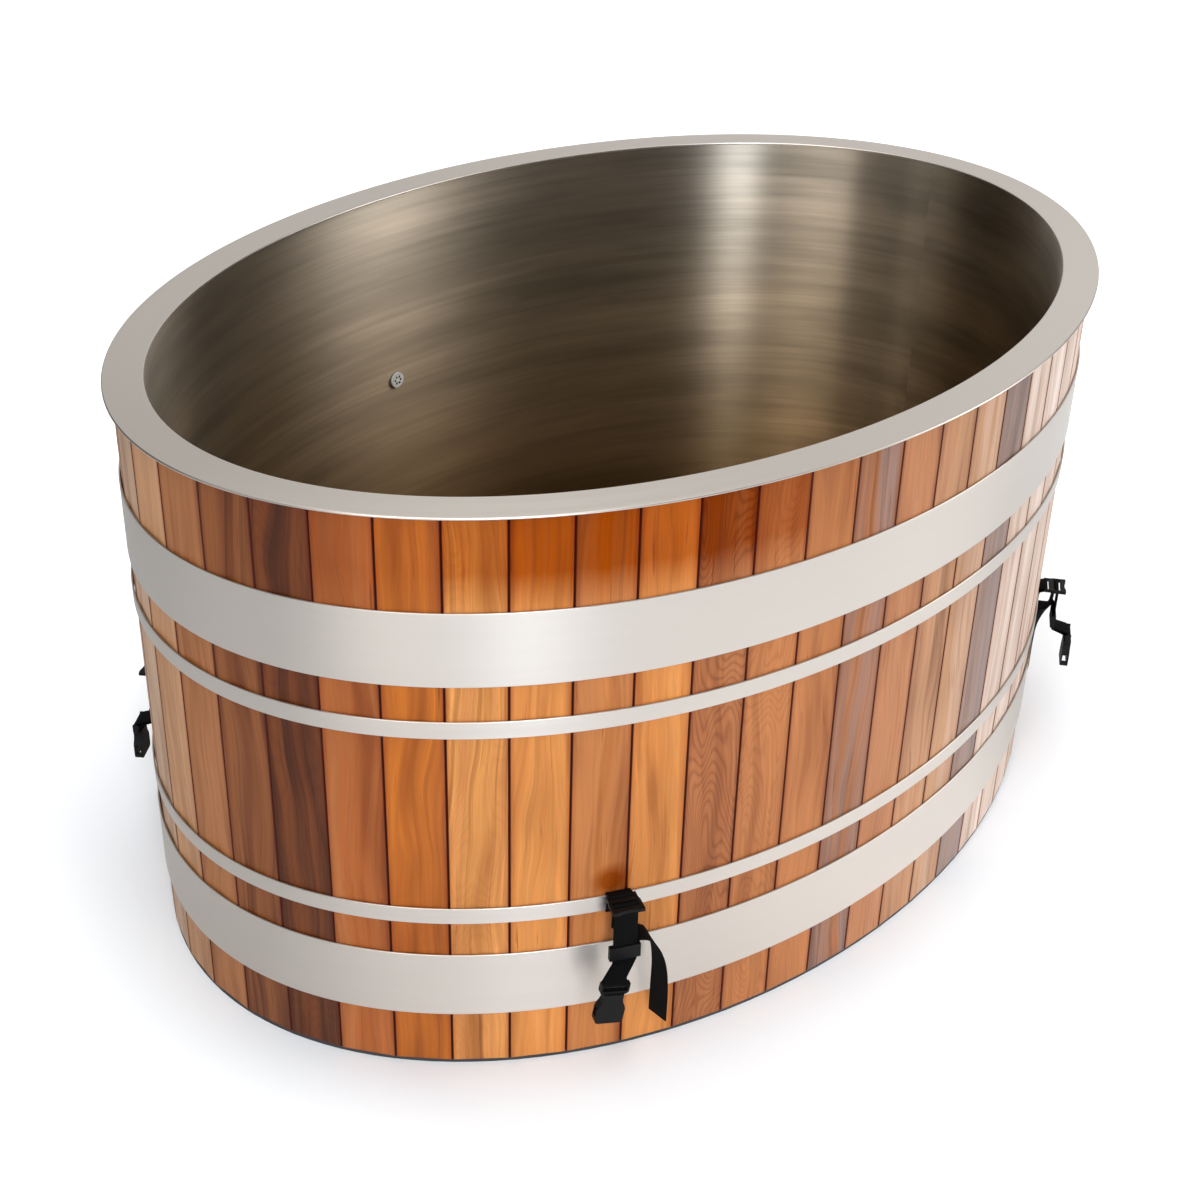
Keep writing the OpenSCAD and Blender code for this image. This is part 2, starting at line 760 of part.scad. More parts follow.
// Ladder lock: back bar in the sewn loop, middle bar for the strap, and a hollow-ended lift tab
module ladder_lock(u) {
    side = 2.6;
    back_half = lock_half_width + side;
    tab_from = lock_bar + 7.5;
    tab_to = tab_from + 6;
    color([0.08, 0.08, 0.09])
        at_wall(u)
            translate([0, 0, lock_z]) {
                translate([lock_reach, 0, 0]) cross_bar(bar_diameter, 2 * lock_half_width + 1);
                translate([lock_bar, 0, 0]) cross_bar(bar_diameter, 2 * lock_half_width + 1);
                linear_extrude(lock_thickness, center = true)
                    difference() {
                        polygon([
                            [lock_reach - 2, -back_half], [lock_bar - 9, -back_half],
                            [lock_bar - 4, -lock_width / 2], [tab_to, -lock_width / 2],
                            [tab_to, lock_width / 2], [lock_bar - 4, lock_width / 2],
                            [lock_bar - 9, back_half], [lock_reach - 2, back_half]
                        ]);
                        translate([lock_reach - 3, -lock_half_width]) square([8, 2 * lock_half_width]);
                        translate([lock_bar - 4.3, -lock_half_width]) square([9.8, 2 * lock_half_width]);
                        translate([tab_to + 38, 0]) circle(r = 40, $fn = 180);
                    }
            }
}

// Loose end of the webbing from the cut end up to the lock: [out, along the wall, up from
// the lock] with its turn about the upright, drawn for webbing 30 mm wide
tail_datum = 30;
tail_hanging = [
    [[27, 47, -184], 65], [[28, 47, -141], 66], [[28.5, 46, -106], 72], [[27, 43, -83], 78],
    [[24.5, 38, -67], 84], [[21.5, 31, -57], 88], [[19, 23, -53.5], 90], [[18, 15, -53], 82],
    [[18, 7, -49], 50], [[20.5, 2, -39], 18], [[24.2, 0, -24], 0]
];
tail_close = [
    [[11, 50, -184], 10], [[11, 50, -136], 10], [[12, 49, -106], 14], [[15, 47, -81], 32],
    [[18.5, 42, -62], 55], [[19.5, 35, -50], 72], [[19.5, 27, -43.5], 85], [[18.5, 20, -41], 88],
    [[17.5, 13, -40.5], 75], [[17.5, 6, -37], 40], [[21, 1, -29], 10], [[24.2, 0, -18], 0]
];

function smooth(p, q, r, s, f) =
    (2 * q + (r - p) * f + (2 * p - 5 * q + 4 * r - s) * f * f + (3 * q - p - 3 * r + s) * f * f * f) / 2;

function tail_at(tail, k) =
    let (
        n = len(tail) - 1,
        i = min(floor(k), n - 1),
        f = k - i,
        p = tail[max(i - 1, 0)],
        q = tail[i],
        r = tail[i + 1],
        s = tail[min(i + 2, n)]
    )
    [smooth(p[0], q[0], r[0], s[0], f), smooth(p[1], q[1], r[1], s[1], f)];

// Stations of the strap, level across the wall or turned with the buckle's bar
function level(p) = [[p.x, 0, p.y], [0, 1, 0], true];
function on_bar(k, p, bar) =
    let (rise = p.y - bar.y, tilt = strap_tilt[k])
    [[p.x, strap_sway[k] + rise * sin(tilt), bar.y + rise * cos(tilt)], [0, cos(tilt), -sin(tilt)], true];

tail_steps = 4;
bar_run = 6;
function strap_bend(k) = lock_z - keeper_drop - strap_extra[k] - keeper_height / 2 - 1.5;

function strap_route(k) =
    let (
        tail = k == 0 ? tail_hanging : tail_close,
        size = webbing_width / tail_datum,
        bend_z = strap_bend(k),
        bar = [buckle_bar, bend_z - buckle_fall],
        lean = atan2(buckle_fall, buckle_reach),
        loop = arc(bar, wrap_radius, 90 - lean, -90 - lean, 10),
        run = bar_run * [-cos(lean), sin(lean)]
    )
    concat(
        [
            for (j = [0:(len(tail) - 1) * tail_steps])
                let (p = tail_at(tail, j / tail_steps), c = p[0] * size, a = p[1] * tail_side[k])
                [[c.x, c.y * tail_side[k], c.z + lock_z], [sin(a), cos(a), 0]]
        ],
        [for (p = arc([lock_bar, lock_z], wrap_radius, 180, 0, 10)) level(p)],
        [level([hang, bend_z + 1]), level([hang + 0.8, bend_z - 2]), on_bar(k, loop[0] + run, bar)],
        [for (p = loop) on_bar(k, p, bar)],
        [on_bar(k, loop[10] + run, bar), level([hang - layer_pitch + 1.1, bend_z - 4])],
        [level([hang - layer_pitch, bend_z + 0.4])],
        [level([hang - layer_pitch, bend_z + keeper_height + 2.5])]
    );

function unit(v) = v / norm(v);

// Flat band swept along a route of middle points and width directions
module webbing(route) {
    n = len(route);
    rings = [
        for (i = [0:n - 1])
            let (
                d = unit(route[min(i + 1, n - 1)][0] - route[max(i - 1, 0)][0]),
                w = route[i][2] ? route[i][1] : unit(route[i][1] - d * (route[i][1] * d)),
                h = unit(cross(d, w)),
                c = route[i][0]
            )
            [for (s = [[-1, -1], [1, -1], [1, 1], [-1, 1]])
                c + w * s.x * webbing_width / 2 + h * s.y * webbing_thickness / 2]
    ];
    sides = [
        for (i = [0:n - 2], k = [0:3])
            let (a = 4 * i + k, b = 4 * i + (k + 1) % 4)
            each (k == 2 ? [[a, a + 4, b + 4], [a, b + 4, b]] : [[a, a + 4, b], [b, a + 4, b + 4]])
    ];
    last = 4 * (n - 1);
    caps = [[0, 1, 2], [0, 2, 3], [last, last + 2, last + 1], [last, last + 3, last + 2]];
    polyhedron(points = [for (r = rings) each r], faces = concat(sides, caps));
}

module strap(k) {
    color([0.05, 0.05, 0.05]) at_wall(strap_angles[k]) webbing(strap_route(k));
}

// Moulded keeper: a flat ring round both layers of the strap
module keeper(k) {
    middle = hang - layer_pitch / 2;
    inner = 2 * webbing_thickness + 0.9;
    color([0.08, 0.08, 0.09])
        at_wall(strap_angles[k])
            translate([middle, 0, lock_z - keeper_drop - strap_extra[k]])
                linear_extrude(keeper_height, center = true)
                    difference() {
                        square([inner + 2 * keeper_wall, webbing_width + 1 + 4 * keeper_wall], center = true);
                        square([inner, webbing_width + 1], center = true);
                    }
}

// Side-release buckle, female half: bar, waist, flared hollow housing and two side windows
module buckle(k) {
    arm = 2.4;
    shoulder = lock_half_width + arm;
    half = buckle_width / 2;
    waist = half - 5.5;
    socket_half = half - 3;
    window_from = buckle_length - 22;
    color([0.06, 0.06, 0.065])
        at_wall(strap_angles[k])
            translate([buckle_bar, strap_sway[k], strap_bend(k) - buckle_fall])
                rotate([-strap_tilt[k], 0, 0]) {
                    cross_bar(bar_diameter, 2 * lock_half_width + 1);
                    difference() {
                        union() {
                            rotate([90, 0, 90])
                                linear_extrude(buckle_thickness - 4, center = true)
                                    polygon([
                                        [-shoulder, 2.5], [shoulder, 2.5], [shoulder, -9], [shoulder - 1.5, -11],
                                        [waist, -13.5], [-waist, -13.5], [-shoulder + 1.5, -11], [-shoulder, -9]
                                    ]);
                            rotate([90, 0, 90])
                                linear_extrude(buckle_thickness, center = true)
                                    polygon([
                                        [-waist, -12], [waist, -12], [waist, -20], [waist + 1.5, -24.5],
                                        [half - 1.5, -29], [half, -33], [half, -buckle_length + 4],
                                        [half - 1.2, -buckle_length + 1.2], [half - 4, -buckle_length],
                                        [-half + 4, -buckle_length], [-half + 1.2, -buckle_length + 1.2],
                                        [-half, -buckle_length + 4], [-half, -33], [-half + 1.5, -29],
                                        [-waist - 1.5, -24.5], [-waist, -20]
                                    ]);
                        }
                        translate([-buckle_thickness, -lock_half_width, -8])
                            cube([2 * buckle_thickness, 2 * lock_half_width, 12]);
                        rotate([90, 0, 90])
                            linear_extrude(socket_thickness, center = true)
                                polygon([
                                    [-socket_half, -buckle_length - 1], [socket_half, -buckle_length - 1],
                                    [socket_half, -33], [waist - 1, -26], [-waist + 1, -26], [-socket_half, -33]
                                ]);
                        translate([-socket_thickness / 2, -half - 1, -window_from - 13])
                            cube([socket_thickness, 2 * half + 2, 13]);
                    }
                }
}

rim_ring();
liner_wall();
liner_floor();
insulation_wall();
insulation_floor();
base_board();
base_bearers();
base_edging();
stave_group(0);  // staves_front
stave_group(1);  // staves_front_right
stave_group(2);  // staves_back_right
stave_group(3);  // staves_back
stave_group(4);  // staves_back_left
stave_group(5);  // staves_front_left
hoop(upper_wide_z, wide_hoop);  // hoop_upper_wide
hoop(upper_narrow_z, narrow_hoop);  // hoop_upper_narrow
hoop(lower_narrow_z, narrow_hoop);  // hoop_lower_narrow
hoop(lower_wide_z, wide_hoop);  // hoop_lower_wide
hoop_lugs();
hoop_draw_bolts();
jet_faceplate();
jet_body();
jet_gasket();
jet_locknut();
jet_hose_tail();
drain_strainer();
drain_body();
drain_gasket();
drain_locknut();
drain_elbow();
drain_pipe();
drain_wall_flange();
valve_body();
valve_end_cap();
valve_seats();
valve_ball();
valve_stem();
valve_lever();
drain_hose_tail();
anchor(front_left_angle);  // anchor_front_left
ladder_lock(front_left_angle);  // ladder_lock_front_left
strap(0);  // strap_front_left
keeper(0);  // keeper_front_left
buckle(0);  // buckle_front_left
anchor(front_right_angle);  // anchor_front_right
ladder_lock(front_right_angle);  // ladder_lock_front_right
strap(1);  // strap_front_right
keeper(1);  // keeper_front_right
buckle(1);  // buckle_front_right
anchor(back_left_angle);  // anchor_back_left
ladder_lock(back_left_angle);  // ladder_lock_back_left
strap(2);  // strap_back_left
keeper(2);  // keeper_back_left
buckle(2);  // buckle_back_left
anchor(back_right_angle);  // anchor_back_right
ladder_lock(back_right_angle);  // ladder_lock_back_right
strap(3);  // strap_back_right
keeper(3);  // keeper_back_right
buckle(3);  // buckle_back_right
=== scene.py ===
import math
import random

import bmesh
import bpy
from mathutils import Matrix, Vector


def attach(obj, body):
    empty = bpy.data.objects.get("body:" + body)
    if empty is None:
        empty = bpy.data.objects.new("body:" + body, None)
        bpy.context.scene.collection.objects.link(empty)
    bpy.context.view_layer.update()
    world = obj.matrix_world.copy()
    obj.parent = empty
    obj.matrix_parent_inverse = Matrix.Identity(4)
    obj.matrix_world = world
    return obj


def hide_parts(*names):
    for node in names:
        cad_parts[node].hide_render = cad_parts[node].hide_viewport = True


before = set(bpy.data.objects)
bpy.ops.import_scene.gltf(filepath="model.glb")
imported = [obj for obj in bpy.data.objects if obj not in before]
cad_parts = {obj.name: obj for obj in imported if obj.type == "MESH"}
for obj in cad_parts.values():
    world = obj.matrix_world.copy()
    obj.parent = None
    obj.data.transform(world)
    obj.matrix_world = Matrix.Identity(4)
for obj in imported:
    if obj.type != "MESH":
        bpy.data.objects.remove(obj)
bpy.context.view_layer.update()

mm = 0.001
print("loaded", len(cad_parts), "nodes")

# The tub's oval and heights in millimetres, as the solids have them
tub = {
    "halfLength": 762.0, "halfWidth": 531.0,        # the rim's outer edge
    "woodInset": 10.0,                              # from the rim's edge in to the face of the wood
    "rimUnderside": 754.0, "rimTop": 757.0, "rimWidth": 49.0, "rimRound": 1.45, "rimRoundSteps": 4,
    "linerSheet": 1.5, "linerFoot": 86.0, "linerRound": 0.2, "linerRoundSteps": 1,
    "ringSteps": 720,
    "flatShare": 5,                                 # a face this many times its neighbour's area stays flat
}
woodA = tub["halfLength"] - tub["woodInset"]
woodB = tub["halfWidth"] - tub["woodInset"]


# Places on the wall's oval: u is the ellipse's own angle in degrees
def wallPoint(u):
    return (woodA * math.cos(math.radians(u)), woodB * math.sin(math.radians(u)))


def wallNormal(u):
    x, y = woodB * math.cos(math.radians(u)), woodA * math.sin(math.radians(u))
    length = math.hypot(x, y)
    return (x / length, y / length)


def atWall(u, out, along, z):
    p, n = wallPoint(u), wallNormal(u)
    return (p[0] + n[0] * out - n[1] * along, p[1] + n[1] * out + n[0] * along, z)


def localDirection(u, out, along, up):
    n = wallNormal(u)
    return (n[0] * out - n[1] * along, n[1] * out + n[0] * along, up)


# Millimetres along the oval for each radian of u
def arcRate(u):
    return math.hypot(woodA * math.sin(math.radians(u)), woodB * math.cos(math.radians(u)))


def newObject(name, data):
    obj = bpy.data.objects.new(name, data)
    bpy.context.scene.collection.objects.link(obj)
    return obj


# Where the picture was taken from
cameraPlace = {
    "at": (-1.782494, -1.460856, 1.637407),
    "forward": (0.65435484, 0.55681787, -0.51163816),
    "up": (0.37169643, 0.352382, 0.85887641),
    "lens": 55.3234, "sensor": 36, "clipStart": 0.05,
}
camData = bpy.data.cameras.new("camera")
camData.lens = cameraPlace["lens"]
camData.sensor_width = cameraPlace["sensor"]
camData.clip_start = cameraPlace["clipStart"]
camera = newObject("camera", camData)
camForward, camUp = Vector(cameraPlace["forward"]), Vector(cameraPlace["up"])
turned = Matrix((camForward.cross(camUp), camUp, -camForward)).transposed().to_4x4()
camera.matrix_world = Matrix.Translation(cameraPlace["at"]) @ turned
bpy.context.scene.camera = camera
bpy.context.scene.view_settings.view_transform = "Standard"
bpy.context.scene.view_settings.look = "None"


# Colours
def srgb(r, g, b):
    def linear(v):
        v = v / 255
        return v / 12.92 if v <= 0.04045 else ((v + 0.055) / 1.055) ** 2.4
    return (linear(r), linear(g), linear(b), 1.0)


def grey(v):
    return (v, v, v, 1)


def tinted(colour, change):
    return tuple(min(1, c * (1 + change)) for c in colour[:3]) + (1,)


# Shader nodes
def newMaterial(name):
    mat = bpy.data.materials.new(name)
    mat.use_nodes = True
    tree = mat.node_tree
    return mat, tree, tree.nodes["Principled BSDF"]


def add(tree, kind, **values):
    node = tree.nodes.new(kind)
    for key, value in values.items():
        setattr(node, key, value)
    return node


def link(tree, a, b):
    tree.links.new(a, b)


def ramp(tree, source, stops):
    node = add(tree, "ShaderNodeValToRGB")
    while len(node.color_ramp.elements) < len(stops):
        node.color_ramp.elements.new(0.5)
    for element, (position, colour) in zip(node.color_ramp.elements, stops):
        element.position = position
        element.color = colour if len(colour) == 4 else (*colour, 1)
    link(tree, source, node.inputs[0])
    return node.outputs[0]


def greyRamp(tree, source, stops):
    return ramp(tree, source, [(position, grey(v)) for position, v in stops])


def between(tree, source, low, high, first=0.0, last=1.0):
    node = add(tree, "ShaderNodeMapRange")
    for socket, value in zip(node.inputs[1:5], (low, high, first, last)):
        socket.default_value = value
    link(tree, source, node.inputs[0])
    return node.outputs[0]


def mapped(tree, source, scale):
    node = add(tree, "ShaderNodeMapping")
    node.inputs["Scale"].default_value = scale
    link(tree, source, node.inputs["Vector"])
    return node.outputs[0]


def noise(tree, vector, scale, detail, rough):
    node = add(tree, "ShaderNodeTexNoise")
    node.inputs["Scale"].default_value = scale
    node.inputs["Detail"].default_value = detail
    node.inputs["Roughness"].default_value = rough
    link(tree, vector, node.inputs["Vector"])
    return node.outputs["Fac"]


# Noise with a scale of its own each way; look is the two scales, the detail and the roughness
def stretched(tree, vector, look):
    first, second, detail, rough = look
    return noise(tree, mapped(tree, vector, (first, second, 1)), 1, detail, rough)


# A number or a colour is set on the socket, and a node's output is linked to it
def feed(tree, value, socket):
    if isinstance(value, (int, float, tuple)):
        socket.default_value = value
    else:
        link(tree, value, socket)


def mixColour(tree, factor, a, b, blend="MIX"):
    node = add(tree, "ShaderNodeMix", data_type="RGBA", blend_type=blend)
    for value, socket in ((factor, 0), (a, 6), (b, 7)):       # the sockets that the node has for colours
        feed(tree, value, node.inputs[socket])
    return node.outputs[2]


def multiplied(tree, colour, tone, amount=1.0):
    return mixColour(tree, amount, colour, tone, "MULTIPLY")


def maths(tree, op, a, b=0.0):
    node = add(tree, "ShaderNodeMath", operation=op)
    feed(tree, a, node.inputs[0])
    feed(tree, b, node.inputs[1])
    return node.outputs[0]


def times(tree, a, b):
    return maths(tree, "MULTIPLY", a, b)


def plus(tree, a, b):
    return maths(tree, "ADD", a, b)


def apart(tree, vector):
    node = add(tree, "ShaderNodeSeparateXYZ")
    link(tree, vector, node.inputs[0])
    return node.outputs


def shifted(tree, source, dx, dy):
    shift = add(tree, "ShaderNodeCombineXYZ")
    link(tree, dx, shift.inputs[0])
    link(tree, dy, shift.inputs[1])
    node = add(tree, "ShaderNodeVectorMath", operation="ADD")
    link(tree, source, node.inputs[0])
    link(tree, shift.outputs[0], node.inputs[1])
    return node.outputs[0]


def objectPlace(tree):
    return add(tree, "ShaderNodeTexCoord").outputs["Object"]


def uvMap(tree, name):
    return add(tree, "ShaderNodeUVMap", uv_map=name).outputs[0]


def attribute(tree, name, output="Color"):
    return add(tree, "ShaderNodeAttribute", attribute_name=name).outputs[output]


def bump(tree, shader, height, strength, distance):
    node = add(tree, "ShaderNodeBump")
    node.inputs["Strength"].default_value = strength
    node.inputs["Distance"].default_value = distance
    link(tree, height, node.inputs["Height"])
    link(tree, node.outputs[0], shader.inputs["Normal"])


# Steel sheet, brushed along its length
steels = {
    "rimSteel": {"colour": (0.65, 0.595, 0.535), "rough": 0.36, "stretch": 0.5, "streak": 0.04},
    "hoopSteel": {"colour": (0.66, 0.615, 0.565), "rough": 0.38, "stretch": 0.7, "streak": 0.03},
    # The liner's steel is a darker copy of the rim's: painted shade for the tub's inside
    "shadedLinerSteel": {"colour": (0.47, 0.415, 0.345), "rough": 0.42, "stretch": 1.0, "streak": 0.22},
}
# Its brush marks, as scale round the tub, scale up the sheet, detail and roughness
brush = {
    "fine": (3, 1500, 3, 0.6), "broad": (1.3, 110, 4, 0.65), "share": 0.5,
    "from": 0.3, "to": 0.7,                         # the stretch of the noise that makes a difference
    "roughChange": 0.15, "turn": 0.25, "bump": (0.12, 0.00002),
}
# The liner has painted shade that makes it darker and browner towards its floor, by height in metres, and has
# wide swathes of the brush
linerLook = {
    "paintedShadeByHeight": (
        (0.1, (0.42, 0.26, 0.10)), (0.28, (0.72, 0.55, 0.36)), (0.5, (0.92, 0.82, 0.68)),
        (0.75, (1.0, 0.98, 0.95)),
    ),
    "swathes": (1.8, 13, 3, 0.55),
    "swatheTones": ((0.34, (0.76, 0.77, 0.77)), (0.5, grey(1)), (0.66, (1.24, 1.23, 1.22))),
}


def brushedSteel(name):
    look = steels[name]
    mat, tree, shader = newMaterial(name)
    uv = uvMap(tree, "flow")
    fine, broad = stretched(tree, uv, brush["fine"]), stretched(tree, uv, brush["broad"])
    both = plus(tree, times(tree, fine, brush["share"]), times(tree, broad, 1 - brush["share"]))
    dark, light = tinted(look["colour"], -look["streak"]), tinted(look["colour"], look["streak"])
    colour = ramp(tree, both, [(brush["from"], dark), (brush["to"], light)])
    smoothest, roughest = (look["rough"] * (1 + sign * brush["roughChange"]) for sign in (-1, 1))
    rough = between(tree, both, brush["from"], brush["to"], smoothest, roughest)
    link(tree, rough, shader.inputs["Roughness"])
    shader.inputs["Metallic"].default_value = 1
    shader.inputs["Anisotropic"].default_value = look["stretch"]
    shader.inputs["Anisotropic Rotation"].default_value = brush["turn"]
    tangent = add(tree, "ShaderNodeTangent", direction_type="UV_MAP", uv_map="flow")
    link(tree, tangent.outputs[0], shader.inputs["Tangent"])
    bump(tree, shader, fine, *brush["bump"])
    if name == "shadedLinerSteel":
        # painted shade: darker and browner towards the liner's floor
        depth = ramp(tree, apart(tree, objectPlace(tree))[2], linerLook["paintedShadeByHeight"])
        swathe = ramp(tree, stretched(tree, uv, linerLook["swathes"]), linerLook["swatheTones"])
        colour = multiplied(tree, multiplied(tree, colour, depth), swathe)
    link(tree, colour, shader.inputs["Base Color"])
    return mat


# Everything without brush marks or wood grain, as colour, roughness, metal, how strong its specks are,
# their scale, depth of the bump and gloss
finishes = {
    "fitting": ((0.78, 0.76, 0.72), 0.3, 1.0, 0.06, 400, 0.0, 0.5),
    "jet": ((0.86, 0.83, 0.78), 0.5, 0.3, 0.06, 400, 0.0, 0.5),
    "lug": ((0.68, 0.66, 0.64), 0.35, 1.0, 0.06, 400, 0.0, 0.5),
    "moulding": ((0.0035, 0.0035, 0.0038), 0.5, 0.0, 0.1, 900, 0.00004, 0.15),
    "rubber": ((0.035, 0.036, 0.038), 0.7, 0.0, 0.06, 400, 0.0, 0.5),
    "pipe": ((0.07, 0.07, 0.073), 0.45, 0.0, 0.06, 400, 0.0, 0.5),
    "brass": ((0.62, 0.47, 0.22), 0.3, 1.0, 0.06, 400, 0.0, 0.5),
    "seat": ((0.85, 0.85, 0.82), 0.4, 0.0, 0.06, 400, 0.0, 0.5),
    "ball": ((0.75, 0.75, 0.75), 0.12, 1.0, 0.06, 400, 0.0, 0.5),
    "lever": ((0.02, 0.05, 0.25), 0.45, 0.0, 0.06, 400, 0.0, 0.5),
    "foam": ((0.8, 0.72, 0.45), 0.9, 0.0, 0.1, 200, 0.0002, 0.5),
    "board": ((0.42, 0.28, 0.15), 0.6, 0.0, 0.2, 60, 0.0, 0.5),
    "linerFloor": ((0.42, 0.37, 0.31), 0.3, 1.0, 0.05, 80, 0.0, 0.5),
}
specks = {
    "detail": 3, "rough": 0.6, "toneFrom": 0.35, "toneTo": 0.65,
    "roughFrom": 0.3, "roughTo": 0.7, "roughChange": 0.1, "bump": 0.4,
}
# Painted shade: holes and crevices of these are darkened by an ambient occlusion node
paintedHollowShade = {"of": ("fitting", "jet"), "samples": 8, "reach": 0.012, "tones": ((0.35, 0.01), (0.8, 1.0))}


def plainMaterial(name):
    colour, rough, metallic, speck, scale, depth, gloss = finishes[name]
    mat, tree, shader = newMaterial(name)
    grain = noise(tree, objectPlace(tree), scale, specks["detail"], specks["rough"])
    stops = [(specks["toneFrom"], tinted(colour, -speck)), (specks["toneTo"], tinted(colour, speck))]
    shade = ramp(tree, grain, stops)
    shader.inputs["Metallic"].default_value = metallic
    shader.inputs["Specular IOR Level"].default_value = gloss
    smoothest, roughest = (rough * (1 + sign * specks["roughChange"]) for sign in (-1, 1))
    grainRough = between(tree, grain, specks["roughFrom"], specks["roughTo"], smoothest, roughest)
    link(tree, grainRough, shader.inputs["Roughness"])
    if depth:
        bump(tree, shader, grain, specks["bump"], depth)
    if name in paintedHollowShade["of"]:
        # painted shade in the holes and crevices
        openness = add(tree, "ShaderNodeAmbientOcclusion", samples=paintedHollowShade["samples"], inside=False)
        openness.inputs["Distance"].default_value = paintedHollowShade["reach"]
        shade = multiplied(tree, shade, greyRamp(tree, openness.outputs["AO"], paintedHollowShade["tones"]))
    link(tree, shade, shader.inputs["Base Color"])
    return mat


# Cedar. Each stave's faces carry its main tone, its streak tone and four facts: seed, streaks, figure, and
# how much of the darker orange band under the rim it has
cedar = {
    # Each band is from, to and the values there, or 0 and 1 where it gives none. Each mark of the grain
    # is scale across the board, scale along it, detail and roughness
    "marks": {
        "broad": (42, 0.9, 3, 0.55), "narrow": (120, 1.3, 2, 0.5), "medium": (220, 3.5, 4, 0.6),
        "fine": (900, 14, 3, 0.6), "swirl": (30, 2.2, 3, 0.55), "fleck": (260, 9, 2, 0.5),
    },
    "cloud": (12, 3, 2, 0.5), "wander": (9, 2.6, 2, 0.5), "swell": (11, 2.4, 2, 0.45),
    "seedShift": (37.0, 91.0), "wanderShift": (0.07, 0.2),
    "streakBand": (0.42, 0.6), "darkBand": (0.55, 0.68), "darkTone": (0.42, 0.34, 0.32, 1),
    # What the marks multiply the colour by
    "markTones": (
        ("medium", ((0.3, grey(0.88)), (0.5, grey(0.99)), (0.72, grey(1.08)))),
        ("swirl", ((0.34, (0.72, 0.64, 0.57)), (0.47, grey(1)), (0.56, grey(1)), (0.68, (1.16, 1.20, 1.26)))),
        ("fine", ((0.3, grey(0.93)), (0.7, grey(1.06)))),
        ("cloud", ((0.3, (0.80, 0.76, 0.72)), (0.5, grey(1)), (0.7, (1.08, 1.10, 1.14)))),
        ("fleck", ((0.66, grey(1)), (0.73, (0.66, 0.52, 0.42)))),
    ),
    "phaseAlong": 40.0, "phaseSwell": 330.0,        # of the figure's lines, by metres along and by the swell
    "figureTones": ((0.0, (0.78, 0.72, 0.68)), (0.4, grey(0.99)), (1, grey(1.04))),
    "bandAndReflectionTone": (0.56, 0.27, 0.006, 1),            # a darker orange band under the rim, and the painted reflection of the front strap on the wood above it
    "rimBandFoot": 0.635, "rimBandFull": 0.685,         # its lower edge, metres above the ground
    "rimBandRagged": 0.03, "patchBand": (0.35, 0.6, 0.85, 1.0),
    "strapReflectionPlace": (-131.2, 262.0),                   # angle and height of the painted strap reflection above the front strap
    "strapReflectionRagged": 0.02, "strapReflectionBand": (0.038, 0.02, 0.0, 0.9),
    "edgeTone": (0.66, 0.44, 0.30, 1),              # the boards' redder edges
    "edgeBand": (0.0275, 0.033, 0.0, 0.7),          # metres from the board's middle line
    # Painted shade in the V grooves and seams between the boards
    "seamShadeTone": srgb(72, 24, 9), "seamShadeBand": (0.0329, 0.0334), "grooveBand": (0.0, 0.2),
    "roughBand": (0.3, 0.7, 0.46, 0.36), "bandShine": 0.12, "glossBand": (0.0, 1.0, 0.22, 0.03),
    "bump": (0.25, 0.00008),
}


def grainColour(tree, marks, streaks):
    streaky = times(tree, between(tree, marks["broad"], *cedar["streakBand"]), streaks)
    colour = mixColour(tree, streaky, attribute(tree, "tone"), attribute(tree, "streakTone"))
    dark = times(tree, between(tree, marks["narrow"], *cedar["darkBand"]), maths(tree, "POWER", streaks, 2.0))
    colour = multiplied(tree, colour, cedar["darkTone"], dark)
    for name, stops in cedar["markTones"]:
        colour = multiplied(tree, colour, ramp(tree, marks[name], stops))
    return colour


# Flat-sawn figure: fine lines round long ovals
def figureTone(tree, spot, line):
    swell = stretched(tree, spot, cedar["swell"])
    along = times(tree, apart(tree, line)[1], cedar["phaseAlong"])
    phase = plus(tree, along, times(tree, swell, cedar["phaseSwell"]))
    lines = between(tree, maths(tree, "SINE", phase), -1.0, 1.0)
    return ramp(tree, lines, cedar["figureTones"])


# A darker orange band under the rim with a ragged lower edge, and a painted reflection of the front strap on
# the wood above it
def rimBandAndStrapReflection(tree, uv, marks, rimBand):
    ragged = cedar["rimBandRagged"]
    height = plus(tree, apart(tree, uv)[1], times(tree, marks["broad"], ragged))
    under = between(tree, height, cedar["rimBandFoot"] + ragged / 2, cedar["rimBandFull"] + ragged / 2)
    patches = times(tree, rimBand, between(tree, marks["broad"], *cedar["patchBand"]))
    # A painted reflection of the front strap: darker orange round a point above it
    angle, z = cedar["strapReflectionPlace"]
    away = add(tree, "ShaderNodeVectorMath", operation="DISTANCE")
    link(tree, objectPlace(tree), away.inputs[0])
    away.inputs[1].default_value = Vector(atWall(angle, 0, 0, z)) * mm
    strapReflectionEdge = plus(tree, away.outputs["Value"], times(tree, marks["cloud"], cedar["strapReflectionRagged"]))
    return maths(tree, "MAXIMUM", times(tree, under, patches), between(tree, strapReflectionEdge, *cedar["strapReflectionBand"]))


